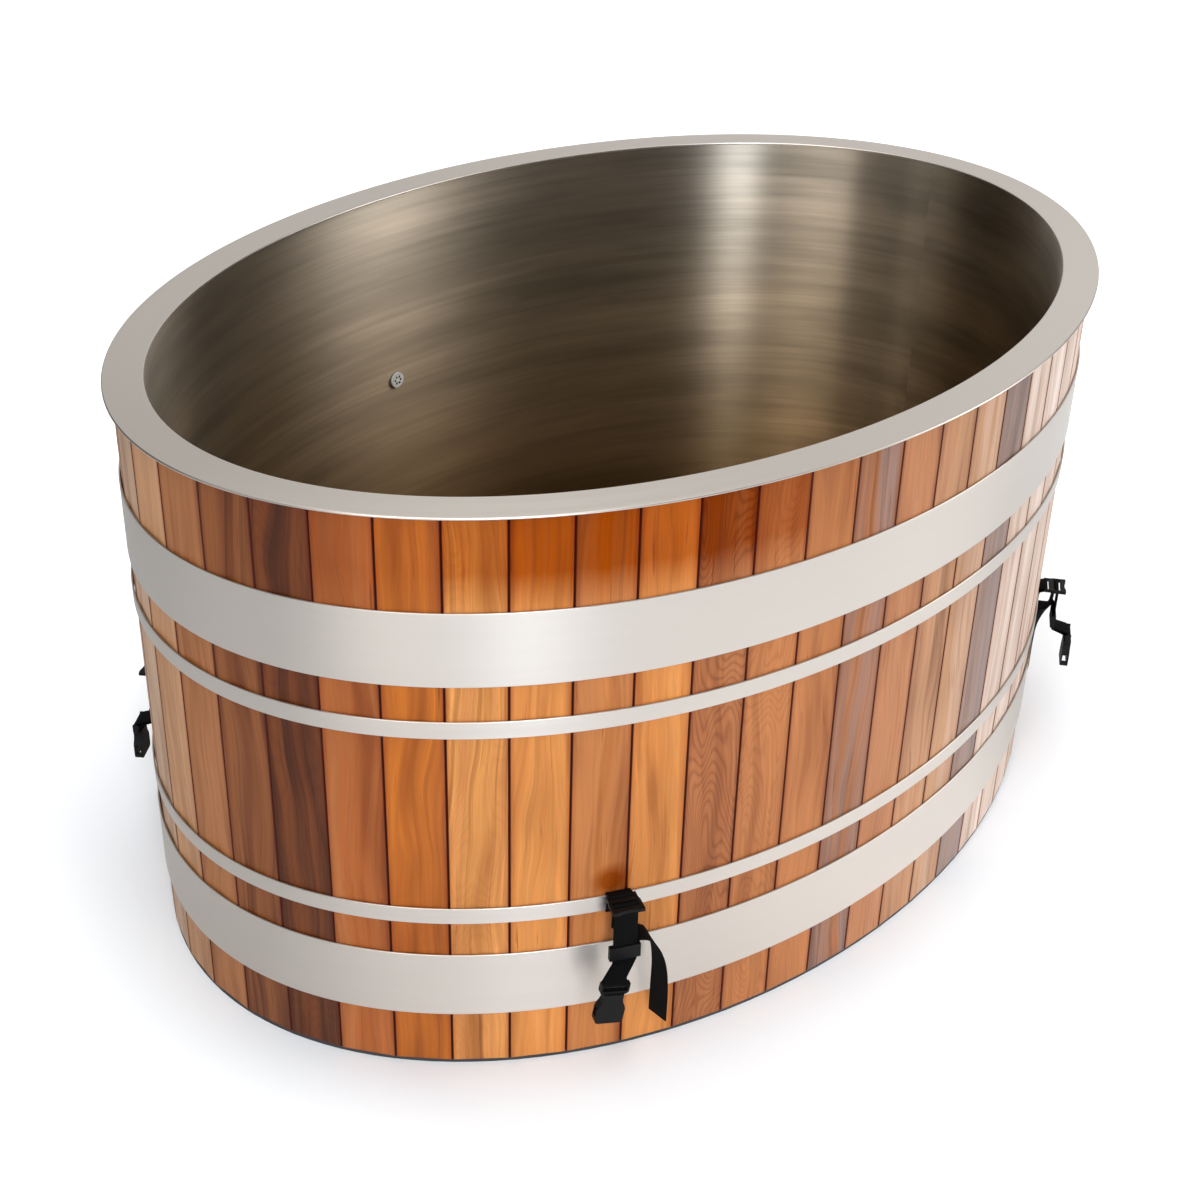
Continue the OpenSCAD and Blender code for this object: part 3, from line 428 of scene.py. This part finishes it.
def cedarMaterial():
    mat, tree, shader = newMaterial("cedar")
    uv = uvMap(tree, "board")
    facts = add(tree, "ShaderNodeSeparateColor")
    link(tree, attribute(tree, "facts"), facts.inputs[0])
    seed, streaks, figure = facts.outputs[:3]
    rimBand = attribute(tree, "facts", "Alpha")
    spot = shifted(tree, uv, *(times(tree, seed, reach) for reach in cedar["seedShift"]))
    wander = stretched(tree, spot, cedar["wander"])
    line = shifted(tree, spot, *(times(tree, wander, reach) for reach in cedar["wanderShift"]))
    marks = {name: stretched(tree, line, look) for name, look in cedar["marks"].items()}
    marks["cloud"] = stretched(tree, spot, cedar["cloud"])
    colour = grainColour(tree, marks, streaks)
    colour = multiplied(tree, colour, figureTone(tree, spot, line), figure)
    # Darker orange in the band under the rim and in the painted strap reflection
    bandAndReflection = rimBandAndStrapReflection(tree, uv, marks, rimBand)
    colour = multiplied(tree, colour, cedar["bandAndReflectionTone"], bandAndReflection)
    offCentre = maths(tree, "ABSOLUTE", apart(tree, uv)[0])
    colour = multiplied(tree, colour, cedar["edgeTone"], between(tree, offCentre, *cedar["edgeBand"]))
    # Painted shade in the V grooves and at the seams
    groove = between(tree, attribute(tree, "groove", "Fac"), *cedar["grooveBand"])
    seam = maths(tree, "MAXIMUM", groove, between(tree, offCentre, *cedar["seamShadeBand"]))
    link(tree, mixColour(tree, seam, colour, cedar["seamShadeTone"]), shader.inputs["Base Color"])
    bare = between(tree, marks["medium"], *cedar["roughBand"])
    rough = maths(tree, "SUBTRACT", bare, times(tree, bandAndReflection, cedar["bandShine"]))
    link(tree, rough, shader.inputs["Roughness"])
    link(tree, between(tree, bandAndReflection, *cedar["glossBand"]), shader.inputs["Specular IOR Level"])
    bump(tree, shader, plus(tree, marks["fine"], marks["medium"]), *cedar["bump"])
    return mat


# The webbing's ribs and rows, in metres
weave = {
    "rib": 0.0015, "row": 0.0022, "tones": ((0.0, 0.0012), (1.0, 0.004)),
    "rough": 0.8, "gloss": 0.08, "bump": (0.5, 0.0003),
}


def webbingMaterial():
    mat, tree, shader = newMaterial("webbing")
    across, along, _ = apart(tree, uvMap(tree, "weave"))
    ribs = maths(tree, "SINE", times(tree, across, 2 * math.pi / weave["rib"]))
    rows = maths(tree, "SINE", times(tree, along, 2 * math.pi / weave["row"]))
    height = between(tree, times(tree, ribs, rows), -1.0, 1.0)
    link(tree, greyRamp(tree, height, weave["tones"]), shader.inputs["Base Color"])
    shader.inputs["Roughness"].default_value = weave["rough"]
    shader.inputs["Specular IOR Level"].default_value = weave["gloss"]
    bump(tree, shader, height, *weave["bump"])
    return mat


mats = {name: brushedSteel(name) for name in steels}
mats.update({name: plainMaterial(name) for name in finishes})
mats["cedar"] = cedarMaterial()
mats["webbing"] = webbingMaterial()
print("materials made")


def finishPiece(bm, name, material, body, node):
    bmesh.ops.recalc_face_normals(bm, faces=bm.faces)
    bmesh.ops.scale(bm, vec=(mm, mm, mm), verts=bm.verts)
    mesh = bpy.data.meshes.new(name)
    bm.to_mesh(mesh)
    bm.free()
    mesh.materials.append(mats[material])
    obj = newObject(name, mesh)
    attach(obj, body)
    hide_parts(node)
    return obj


# The outline of a strip's section, without its face
def roundedFace(bm, corners, rounding, segments):
    verts = [bm.verts.new(c) for c in corners]
    bm.faces.new(verts)
    bmesh.ops.bevel(bm, geom=verts, offset=rounding, segments=segments, profile=0.5,
                    affect="VERTICES", material=-1)
    bmesh.ops.delete(bm, geom=bm.faces[:], context="FACES_ONLY")


# A rounded strip spun round a circle, then pressed into the oval. Insets count in from the rim's outer edge
def ovalRing(name, node, material, insets, heights, rounding, segments, start=0.0, span=360.0):
    radius, fullTurn = tub["halfLength"], 2 * math.pi
    nearlyClosed = 0.001                            # radians; a point this close to the full turn is at 0
    bm = bmesh.new()
    (near, far), (low, high) = insets, heights
    corners = [(radius - i, 0, z) for i, z in ((near, low), (near, high), (far, high), (far, low))]
    roundedFace(bm, corners, rounding, segments)
    bmesh.ops.spin(bm, geom=bm.verts[:] + bm.edges[:], cent=(0, 0, 0), axis=(0, 0, 1),
                   angle=math.radians(span), steps=tub["ringSteps"], use_merge=span >= 360)
    if span < 360:
        bmesh.ops.holes_fill(bm, edges=[e for e in bm.edges if e.is_boundary], sides=0)
    turn = bm.verts.layers.float.new("turn")
    inset = bm.verts.layers.float.new("inset")
    for v in bm.verts:
        angle = math.atan2(v.co.y, v.co.x) % fullTurn
        v[turn] = 0.0 if angle > fullTurn - nearlyClosed else angle
        v[inset] = radius - math.hypot(v.co.x, v.co.y)
        e = v[turn] + math.radians(start)
        v.co.x = (tub["halfLength"] - v[inset]) * math.cos(e)
        v.co.y = (tub["halfWidth"] - v[inset]) * math.sin(e)
    flow = bm.loops.layers.uv.new("flow")
    meanRadius = (woodA + woodB) / 2
    for face in bm.faces:
        face.smooth = True
        closing = max(v[turn] for v in face.verts) > math.pi
        for loop in face.loops:
            v = loop.vert
            angle = fullTurn if closing and v[turn] < nearlyClosed else v[turn]
            loop[flow].uv = (angle * meanRadius * mm, (v.co.z - v[inset]) * mm)
    # A broad flat stays flat where it meets its rounding
    for edge in bm.edges:
        areas = [face.calc_area() for face in edge.link_faces]
        edge.smooth = max(areas) < tub["flatShare"] * min(areas)
    return finishPiece(bm, name, material, "tub", node)


ovalRing("rimPlate", "rim_ring", "rimSteel", (0, tub["rimWidth"]),
         (tub["rimUnderside"], tub["rimTop"]), tub["rimRound"], tub["rimRoundSteps"])
ovalRing("linerShell", "liner_wall", "shadedLinerSteel",
         (tub["rimWidth"] - tub["linerSheet"], tub["rimWidth"]),
         (tub["linerFoot"], tub["rimUnderside"]), tub["linerRound"], tub["linerRoundSteps"])

# Hoops: node, lower edge and upper edge, with a gap at the back where their ends are drawn together
hoops = {
    "bands": (("hoop_upper_wide", 548, 640), ("hoop_upper_narrow", 481, 503),
              ("hoop_lower_narrow", 221, 243), ("hoop_lower_wide", 81, 173)),
    "play": 0.3, "sheet": 2.3, "round": 0.7, "roundSteps": 3, "closureAngle": 112.0, "closureGap": 14.0,
}
halfGap = math.degrees(hoops["closureGap"] / 2 / arcRate(hoops["closureAngle"]))
hoopInner = tub["woodInset"] - hoops["play"]
for node, low, high in hoops["bands"]:
    ovalRing(node.replace("_", "-") + "-band", node, "hoopSteel",
             (hoopInner - hoops["sheet"], hoopInner), (low, high), hoops["round"], hoops["roundSteps"],
             hoops["closureAngle"] + halfGap, 360 - 2 * halfGap)
print("steel made")

# Staves at an equal pitch round the oval, measured along its curve
staves = {
    "count": 58, "thickness": 19.0, "offset": 10.5, "chamfer": 1.6, "gap": 0.3, "foot": 5.0,
    "roundDepth": 0.3, "roundAlong": 0.55, "roundShade": 0.35,            # a point that rounds the chamfer, and the painted groove shade there
    "groups": ("front", "front_right", "back_right", "back", "back_left", "front_left"),
    "arcStart": -90.0, "arcStep": 0.5,              # degrees
    "unseenStreaks": (0.2, 0.7), "unseenFigures": (0, 0, 0, 0.8),
}
tones = {
    "sand": srgb(206, 168, 134), "fawn": srgb(202, 150, 104), "oak": srgb(168, 108, 62),
    "chestnut": srgb(134, 78, 40), "umber": srgb(112, 58, 26), "soot": srgb(74, 36, 16),
    "russet": srgb(166, 90, 40), "amber": srgb(194, 108, 34), "honey": srgb(220, 148, 78),
    "apricot": srgb(206, 128, 62), "copper": srgb(186, 116, 64), "clay": srgb(168, 104, 60),
    "rust": srgb(148, 74, 30), "rose": srgb(180, 120, 80), "blush": srgb(190, 140, 100),
    "heather": srgb(166, 128, 106), "plum": srgb(140, 120, 114), "pale": srgb(206, 172, 148),
    "bleached": srgb(222, 198, 182),
}
# Staves that the picture shows, from its left: main tone, streak tone, streaks, figure, darker orange band
# under the rim
shown = {
    -17: ("sand", "fawn", 0.4, 0, 0), -16: ("fawn", "oak", 0.35, 0, 0),
    -15: ("oak", "clay", 0.5, 0, 0), -14: ("chestnut", "umber", 0.9, 0, 0),
    -13: ("umber", "soot", 0.8, 0.35, 0), -12: ("russet", "clay", 0.5, 0, 0.3),
    -11: ("amber", "rust", 0.6, 0, 0.3), -10: ("honey", "copper", 0.75, 0.2, 0.85),
    -9: ("apricot", "honey", 0.5, 0, 1), -8: ("copper", "apricot", 0.45, 0, 1),
    -7: ("apricot", "honey", 0.5, 0, 0.9), -6: ("clay", "rust", 0.3, 1, 1),
    -5: ("copper", "clay", 0.4, 0.5, 0.8), -4: ("copper", "clay", 0.4, 0, 0.1),
    -3: ("clay", "plum", 0.75, 0, 0), -2: ("rose", "copper", 0.4, 0, 0),
    -1: ("blush", "rose", 0.6, 0, 0), 0: ("blush", "pale", 0.5, 0, 0),
    1: ("plum", "heather", 0.5, 0, 0), 2: ("bleached", "pale", 0.5, 0, 0),
    3: ("bleached", "pale", 0.4, 0, 0), 4: ("bleached", "pale", 0.5, 0, 0),
    5: ("pale", "bleached", 0.5, 0, 0),
}
unseen = ("rose", "russet", "amber", "honey", "fawn", "apricot", "blush", "copper", "clay", "oak")
random.seed(11)

# Pairs of length along the oval and its angle there, once round
arcTable = [(0.0, staves["arcStart"])]
while arcTable[-1][1] < 360 + staves["arcStart"]:
    length, u = arcTable[-1]
    length += arcRate(u + staves["arcStep"] / 2) * math.radians(staves["arcStep"])
    arcTable.append((length, u + staves["arcStep"]))
perimeter = arcTable[-1][0]
pitch = perimeter / staves["count"]


def seamAngle(i):
    s = (i * pitch - staves["offset"] + perimeter) % perimeter
    k = next(k for k in range(len(arcTable) - 1) if arcTable[k + 1][0] >= s)
    (s0, u0), (s1, u1) = arcTable[k], arcTable[k + 1]
    return u0 + (u1 - u0) * (s - s0) / (s1 - s0)


# Corners of a stave's section: place, and how much painted shade the groove gets there
def staveSection(i):
    half, chamfer = staves["gap"] / 2, staves["chamfer"]
    rounded = (chamfer * staves["roundDepth"], chamfer * staves["roundAlong"] + half, staves["roundShade"])
    # Depth, distance from the seam, darkness of the painted shade
    rows = [(0, chamfer + half, 0), rounded, (chamfer, half, 1), (staves["thickness"], half, 1)]
    points = []
    for seam, side in ((i, 1), (i + 1, -1)):
        u = seamAngle(seam)
        for depth, along, dark in rows if side > 0 else rows[::-1]:
            x, y, _ = atWall(u, -depth, along * side, 0)
            points.append((x, y, dark))
    return points


def makeStaves(name, node, group):
    bm = bmesh.new()
    groove = bm.verts.layers.float.new("groove")
    which = bm.faces.layers.int.new("stave")
    board = bm.loops.layers.uv.new("board")
    looks = []
    share = staves["count"] / len(staves["groups"])
    for i in range(math.ceil((group - 0.5) * share), math.ceil((group + 0.5) * share)):
        key = i if i <= staves["count"] // 2 else i - staves["count"]
        main, streak = random.sample(unseen, 2)
        amount, figure = random.uniform(*staves["unseenStreaks"]), random.choice(staves["unseenFigures"])
        look = shown.get(key, (main, streak, amount, figure, 0))
        looks.append((*look, random.random()))
        ring = []
        section = staveSection(i)
        for x, y, dark in section:
            v = bm.verts.new((x, y, staves["foot"]))
            v[groove] = dark
            ring.append(v)
        left, right = Vector(section[0][:2]), Vector(section[-1][:2])
        across = (right - left).normalized()
        done = set(bm.faces)
        foot = bm.faces.new(ring)
        grown = bmesh.ops.extrude_face_region(bm, geom=[foot])["geom"]
        rise = (0, 0, tub["rimUnderside"] - staves["foot"])
        bmesh.ops.translate(bm, vec=rise, verts=[g for g in grown if isinstance(g, bmesh.types.BMVert)])
        for face in set(bm.faces) - done:
            face[which] = len(looks) - 1
            for loop in face.loops:
                x, y, z = loop.vert.co
                loop[board].uv = ((Vector((x, y)) - (left + right) / 2).dot(across) * mm, z * mm)
    mesh = finishPiece(bm, name, "cedar", "tub", node).data
    tone = mesh.attributes.new("tone", "FLOAT_COLOR", "FACE")
    streakTone = mesh.attributes.new("streakTone", "FLOAT_COLOR", "FACE")
    facts = mesh.attributes.new("facts", "FLOAT_COLOR", "FACE")
    for k, item in enumerate(mesh.attributes["stave"].data):
        main, streak, amount, figure, rimBand, seed = looks[item.value]
        tone.data[k].color = tones[main]
        streakTone.data[k].color = tones[streak]
        facts.data[k].color = (seed, amount, figure, rimBand)


for group, side in enumerate(staves["groups"]):
    makeStaves("boards-" + side.replace("_", "-"), "staves_" + side, group)
print("staves made")

# Webbing, the ladder lock at its top and the buckle at its foot, in millimetres
webbing = {
    "width": 30.0, "thickness": 1.2, "edgeRound": 0.9, "edgeSteps": 3, "crease": 1.0, "weld": 0.0001,
    "slip": 0.2, "layers": 0.3,                     # beside a bar, and between two layers in the keeper
    "barDiameter": 4.0, "lockReach": 12.0, "lockBar": 28.5, "lockHeight": 246.0,
    "hoopTop": 243.0, "hoopLow": 221.0,
    "keeperDrop": 52.5, "keeperHeight": 19.0, "keeperPlay": 1.5,
    "buckleReach": 26.0, "buckleFall": 12.0, "barRun": 6.0,
    "tailSteps": 6, "barSteps": 20,
    # The bends under the keeper: out from the band's place there, and up
    "outerBend": ((0, 3), (0.1, 0.6), (0.9, -1.7)), "innerBend": ((1.1, -4), (0.2, -1.5), (0, 0.8)),
    "overKeeper": 2.5,
}
# The anchor's sewn loop, round the lower narrow hoop and the lock's back bar
anchor = {
    "underHoop": 0.3, "hoopSteps": 10, "barTurn": (-70, 110), "barSteps": 16,
    # Out from its front layer, from the wood's face and from its rear layer, and up from the hoop's top edge
    "front": ((0, -12), (0, -6), (0.4, -4), (1.2, -2.4)),
    "over": ((6, 4.3), (1, 2.8)),
    "rear": ((0.3, 1.8), (0, 0.6), (0, -10)),
}
# Each strap: angle, extra drop of the keeper, sway and tilt of the buckle, side of the loose end
straps = {
    "front_left": (-130.3, 15.0, -20.0, 10.0, 1), "front_right": (-49.5, 0.0, 0.0, 0.0, 1),
    "back_left": (136.5, 15.0, 0.0, 0.0, -1), "back_right": (49.5, 0.0, 0.0, 0.0, 1),
}
# The loose end from its tip up to the lock: out from the wall, sideways and up from the lock's bar,
# then its turn in degrees
tailHanging = [
    ((27, 47, -184), 65), ((28, 47, -141), 66), ((28.5, 46, -106), 72), ((27, 43, -83), 78),
    ((24.5, 38, -67), 84), ((21.5, 31, -57), 88), ((19, 23, -53.5), 90), ((18, 15, -53), 82),
    ((18, 7, -49), 50), ((20.5, 2, -39), 18), ((24.2, 0, -24), 0),
]
tailClose = [
    ((11, 50, -184), 10), ((11, 50, -136), 10), ((12, 49, -106), 14), ((15, 47, -81), 32),
    ((18.5, 42, -62), 55), ((19.5, 35, -50), 72), ((19.5, 27, -43.5), 85), ((18.5, 20, -41), 88),
    ((17.5, 13, -40.5), 75), ((17.5, 6, -37), 40), ((21, 1, -29), 10), ((24.2, 0, -18), 0),
]
wrapRadius = webbing["barDiameter"] / 2 + webbing["slip"] + webbing["thickness"] / 2
hang = webbing["lockBar"] + wrapRadius              # how far out from the wall the strap hangs


# A flat band carried along a route of (point, width direction, keep that direction as it is)
def ribbon(name, node, body, route, closed=False):
    half, edge = webbing["width"] / 2, webbing["thickness"] / 2
    bm = bmesh.new()
    corners = [(x, 0, z) for x, z in ((-half, -edge), (half, -edge), (half, edge), (-half, edge))]
    roundedFace(bm, corners, edge * webbing["edgeRound"], webbing["edgeSteps"])
    side = bm.verts.layers.float.new("side")
    lift = bm.verts.layers.float.new("lift")
    run = bm.verts.layers.float.new("run")
    for v in bm.verts:
        v[side], v[lift] = v.co.x, v.co.z
    verts, ring = bm.verts[:], bm.edges[:]
    stops = len(route)
    length = 0.0
    for i in range(stops + 1 if closed else stops):
        centre, width, kept = route[i % stops]
        before = route[(i - 1) % stops if closed else max(i - 1, 0)][0]
        after = route[(i + 1) % stops if closed else min(i + 1, stops - 1)][0]
        ahead = (Vector(after) - Vector(before)).normalized()
        width = Vector(width)
        if not kept:
            width = (width - ahead * width.dot(ahead)).normalized()
        up = ahead.cross(width).normalized()
        if i:
            grown = bmesh.ops.extrude_edge_only(bm, edges=ring)["geom"]
            verts = [g for g in grown if isinstance(g, bmesh.types.BMVert)]
            edges = [g for g in grown if isinstance(g, bmesh.types.BMEdge)]
            ring = [e for e in edges if all(v in verts for v in e.verts)]
            length += (Vector(centre) - Vector(route[i - 1][0])).length
        for v in verts:
            v.co = Vector(centre) + width * v[side] + up * v[lift]
            v[run] = length
    weaveMap = bm.loops.layers.uv.new("weave")
    for face in bm.faces:
        for loop in face.loops:
            loop[weaveMap].uv = (loop.vert[side] * mm, loop.vert[run] * mm)
    if closed:
        bmesh.ops.remove_doubles(bm, verts=bm.verts, dist=webbing["weld"])
    else:
        bmesh.ops.holes_fill(bm, edges=[e for e in bm.edges if e.is_boundary], sides=0)
    for face in bm.faces:
        face.smooth = True
    for item in bm.edges:
        item.smooth = item.calc_face_angle(0) < webbing["crease"]
    return finishPiece(bm, name, "webbing", body, node)


def arcPoints(c, r, start, end, n):
    turns = [math.radians(start + (end - start) * i / n) for i in range(n + 1)]
    return [(c[0] + r * math.cos(a), c[1] + r * math.sin(a)) for a in turns]


# The smooth curve through q and r, with p and s on either side
def glide(p, q, r, s, f):
    def one(a, b, c, d):
        square, cube = 2 * a - 5 * b + 4 * c - d, 3 * b - a - 3 * c + d
        return (2 * b + (c - a) * f + square * f * f + cube * f ** 3) / 2
    return tuple(one(*four) for four in zip(p, q, r, s))


def strapRoute(key):
    u, extra, sway, tilt, side = straps[key]
    tail = tailHanging if key == "front_left" else tailClose
    fine = webbing["tailSteps"]
    lockZ, keeper = webbing["lockHeight"], webbing["keeperHeight"]
    bendZ = lockZ - webbing["keeperDrop"] - extra - keeper / 2 - webbing["keeperPlay"]
    bar = (hang + webbing["buckleReach"], bendZ - webbing["buckleFall"])
    lean = math.atan2(webbing["buckleFall"], webbing["buckleReach"])
    loop = arcPoints(bar, wrapRadius, 90 - math.degrees(lean), -90 - math.degrees(lean), webbing["barSteps"])
    run = (-webbing["barRun"] * math.cos(lean), webbing["barRun"] * math.sin(lean))
    inner = hang - webbing["thickness"] - webbing["layers"]
    route = []

    def level(x, z):
        route.append((atWall(u, x, 0, z), localDirection(u, 0, 1, 0), True))

    def onBar(x, z):
        rise, a = z - bar[1], math.radians(tilt)
        place = atWall(u, x, sway + rise * math.sin(a), bar[1] + rise * math.cos(a))
        route.append((place, localDirection(u, 0, math.cos(a), -math.sin(a)), True))

    last = len(tail) - 1
    for j in range(last * fine + 1):
        i = min(j // fine, last - 1)
        near = (tail[max(i - 1, 0)], tail[i], tail[i + 1], tail[min(i + 2, last)])
        out, along, up = glide(*(place for place, _ in near), j / fine - i)
        a = math.radians(glide(*((turn,) for _, turn in near), j / fine - i)[0] * side)
        place = atWall(u, out, along * side, up + lockZ)
        route.append((place, localDirection(u, math.sin(a), math.cos(a), 0), False))
    # Over the lock's middle bar, down to the bend under the keeper, round the buckle's bar and back up
    for x, z in arcPoints((webbing["lockBar"], lockZ), wrapRadius, 180, 0, webbing["barSteps"]):
        level(x, z)
    for x, z in webbing["outerBend"]:
        level(hang + x, bendZ + z)
    onBar(loop[0][0] + run[0], loop[0][1] + run[1])
    for x, z in loop:
        onBar(x, z)
    onBar(loop[-1][0] + run[0], loop[-1][1] + run[1])
    for x, z in (*webbing["innerBend"], (0, keeper + webbing["overKeeper"])):
        level(inner + x, bendZ + z)
    return route


# Under the hoop, up its face, round the lock's back bar and down behind it
def anchorRoute(u):
    half = webbing["thickness"] / 2
    low, top = webbing["hoopLow"], webbing["hoopTop"]
    front = hoops["play"] + hoops["sheet"] + webbing["slip"] + half
    rear = -half - webbing["slip"]
    foot = ((front + rear) / 2, low - anchor["underHoop"])
    bar = (webbing["lockReach"], webbing["lockHeight"])
    path = arcPoints(foot, (front - rear) / 2, 180, 360, anchor["hoopSteps"])
    path += [(front + x, top + z) for x, z in anchor["front"]]
    path += arcPoints(bar, wrapRadius, *anchor["barTurn"], anchor["barSteps"])
    path += [(x, top + z) for x, z in anchor["over"]]
    path += [(rear + x, top + z) for x, z in anchor["rear"]]
    return [(atWall(u, x, 0, z), localDirection(u, 0, 1, 0), True) for x, z in path]


for key, (angle, *_) in straps.items():
    tag = key.replace("_", "-")
    ribbon("anchor-" + tag, "anchor_" + key, "tub", anchorRoute(angle), True)
    ribbon("strap-" + tag, "strap_" + key, "hanging_" + key, strapRoute(key))
print("webbing made")

# The other solids keep their shape and get a material
dressed = {
    "linerFloor": ["liner_floor"],
    "foam": ["insulation_wall", "insulation_floor"],
    "board": ["base_board"],
    "rubber": ["base_edging", "jet_gasket", "drain_gasket"],
    "lug": ["hoop_lugs", "hoop_draw_bolts"],
    "pipe": ["base_bearers", "drain_elbow", "drain_pipe"],
    "seat": ["valve_seats"],
    "lever": ["valve_lever"],
    "jet": ["jet_faceplate", "jet_body"],
    "fitting": ["jet_locknut", "drain_strainer", "drain_body", "drain_locknut", "drain_wall_flange"],
    "brass": ["jet_hose_tail", "valve_body", "valve_end_cap", "drain_hose_tail"],
    "ball": ["valve_ball", "valve_stem"],
    "moulding": [part + key for key in straps for part in ("ladder_lock_", "keeper_", "buckle_")],
}
for material, nodes in dressed.items():
    for node in nodes:
        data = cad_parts[node].data
        data.materials.clear()
        data.materials.append(mats[material])
print("solids dressed")


# Bearing seen from above: 0 is towards minus x, 0.25 minus y, 0.5 plus x, 0.75 plus y, and 1 is once round
def bearingOf(tree, place):
    return between(tree, maths(tree, "ARCTAN2", place[1], place[0]), -math.pi, math.pi)


# Pale floor. The camera sees it near white, with painted shade where it glows less near the tub and painted
# light where it glows more to the left; its tone by bearing is what the hoops mirror
floorLook = {
    "size": 12, "drop": 0.0005, "rough": 0.9, "seenTone": (0.83, 0.85, 0.865, 1), "mirroredGlow": 0.22,
    # From, to, and the glow at each; lengths are in halves of the tub
    # Painted shade: the floor glows less near the tub, so it is darker round it
    "paintedShadeByDistance": (1.02, 1.75, 0.09, 0.55),           # by distance from the tub, where its edge is 1
    # Painted light: the floor glows more to the left, which lifts out the shade there
    "paintedLightLeft": (-0.9, -1.25, 0.0, 0.22),           # more of it to the left, where the picture has no shade
    "tones": (
        (0.0, 0.62), (0.09, 0.78), (0.16, 0.88), (0.20, 1.0), (0.25, 1.0), (0.33, 0.85), (0.40, 0.60),
        (0.47, 0.78), (0.51, 1.0), (0.65, 1.0), (0.73, 0.5), (0.82, 0.5), (0.93, 0.58),
    ),
}


def floorMaterial():
    mat, tree, shader = newMaterial("floor")
    shader.inputs["Roughness"].default_value = floorLook["rough"]
    rays = add(tree, "ShaderNodeLightPath").outputs
    seen = rays["Is Camera Ray"]
    mirrored = greyRamp(tree, bearingOf(tree, apart(tree, objectPlace(tree))), floorLook["tones"])
    link(tree, mixColour(tree, seen, mirrored, floorLook["seenTone"]), shader.inputs["Base Color"])
    link(tree, mixColour(tree, seen, mirrored, grey(1)), shader.inputs["Emission Color"])
    halves = (1 / (tub["halfLength"] * mm), 1 / (tub["halfWidth"] * mm), 0)
    x, y, _ = apart(tree, mapped(tree, objectPlace(tree), halves))
    away = maths(tree, "SQRT", plus(tree, maths(tree, "POWER", x, 2.0), maths(tree, "POWER", y, 2.0)))
    # painted shade near the tub and painted light to the left
    paintedFloorGlow = plus(tree, between(tree, away, *floorLook["paintedShadeByDistance"]), between(tree, x, *floorLook["paintedLightLeft"]))
    mirroredGlow = times(tree, rays["Is Glossy Ray"], floorLook["mirroredGlow"])
    link(tree, plus(tree, times(tree, seen, paintedFloorGlow), mirroredGlow), shader.inputs["Emission Strength"])
    return mat


bm = bmesh.new()
floorPlace = Matrix.Translation((0, 0, -floorLook["drop"]))
bmesh.ops.create_grid(bm, x_segments=1, y_segments=1, size=floorLook["size"], matrix=floorPlace)
floorMesh = bpy.data.meshes.new("floor")
bm.to_mesh(floorMesh)
bm.free()
floor = newObject("floor", floorMesh)
floorMesh.materials.append(floorMaterial())

# The room: tall soft panels at some bearings and dark between them, under a ceiling that also changes
# by bearing. It is white where the camera sees it
room = {
    "panels": (
        (0.0, 0.12), (0.036, 0.12), (0.042, 1.2), (0.048, 1.1), (0.054, 0.1), (0.064, 0.1), (0.072, 1.5),
        (0.098, 1.2), (0.115, 0.7), (0.137, 0.6), (0.148, 8.3), (0.171, 8.3), (0.178, 0.6), (0.195, 0.06),
        (0.27, 0.08), (0.335, 0.3), (0.35, 1.5), (0.39, 1.5), (0.41, 0.8), (0.43, 0.05), (0.50, 0.05),
        (0.53, 0.98), (0.56, 0.95), (0.60, 0.72), (0.69, 0.6), (0.72, 0.04), (0.86, 0.04), (0.90, 0.5),
        (0.93, 0.6), (0.95, 0.15),
    ),
    "windowTone": (1.05, 1.16, 1.32, 1), "windowBand": (2.5, 7.0),       # the brightest panel is cooler
    "ceiling": (
        (0.0, 0.4), (0.03, 0.4), (0.045, 2.5), (0.075, 4.5), (0.11, 4.0), (0.135, 0.5), (0.17, 0.2),
        (0.33, 0.2), (0.42, 0.45),
    ),
    "ceilingBand": (0.6, 0.85),                     # by how far up a direction points
}


def roomWorld():
    world = bpy.data.worlds.new("world")
    world.use_nodes = True
    tree = world.node_tree
    tree.nodes.clear()
    direction = apart(tree, add(tree, "ShaderNodeTexCoord").outputs["Generated"])
    bearing = bearingOf(tree, direction)
    panels = greyRamp(tree, bearing, room["panels"])
    window = between(tree, panels, *room["windowBand"])
    panels = multiplied(tree, panels, room["windowTone"], window)
    ceiling = greyRamp(tree, bearing, room["ceiling"])
    overhead = between(tree, direction[2], *room["ceilingBand"])
    lit, seen = add(tree, "ShaderNodeBackground"), add(tree, "ShaderNodeBackground")
    link(tree, mixColour(tree, overhead, panels, ceiling), lit.inputs["Color"])
    seen.inputs["Color"].default_value = grey(1)
    chooser = add(tree, "ShaderNodeMixShader")
    link(tree, add(tree, "ShaderNodeLightPath").outputs["Is Camera Ray"], chooser.inputs[0])
    link(tree, lit.outputs[0], chooser.inputs[1])
    link(tree, seen.outputs[0], chooser.inputs[2])
    link(tree, chooser.outputs[0], add(tree, "ShaderNodeOutputWorld").inputs[0])
    return world


bpy.context.scene.world = roomWorld()

# Lamps: place, what they point at, width, height, watts
lamps = {
    "top": ((0, 0, 4.5), (0, 0, 0), 4, 4, 70),
    "left": ((-3.3, -1.2, 1.6), (0, 0, 0.4), 1, 1.6, 16),
    "right": ((2.6, -2.35, 1.7), (0, 0, 0.4), 1, 2.4, 29),
}
for name, (place, target, width, height, watts) in lamps.items():
    data = bpy.data.lights.new(name, "AREA")
    data.shape = "RECTANGLE"
    data.size, data.size_y = width, height
    data.energy = watts
    lamp = newObject(name, data)
    lamp.location = place
    lamp.rotation_euler = (Vector(target) - Vector(place)).to_track_quat("-Z", "Y").to_euler()
print("stage set")
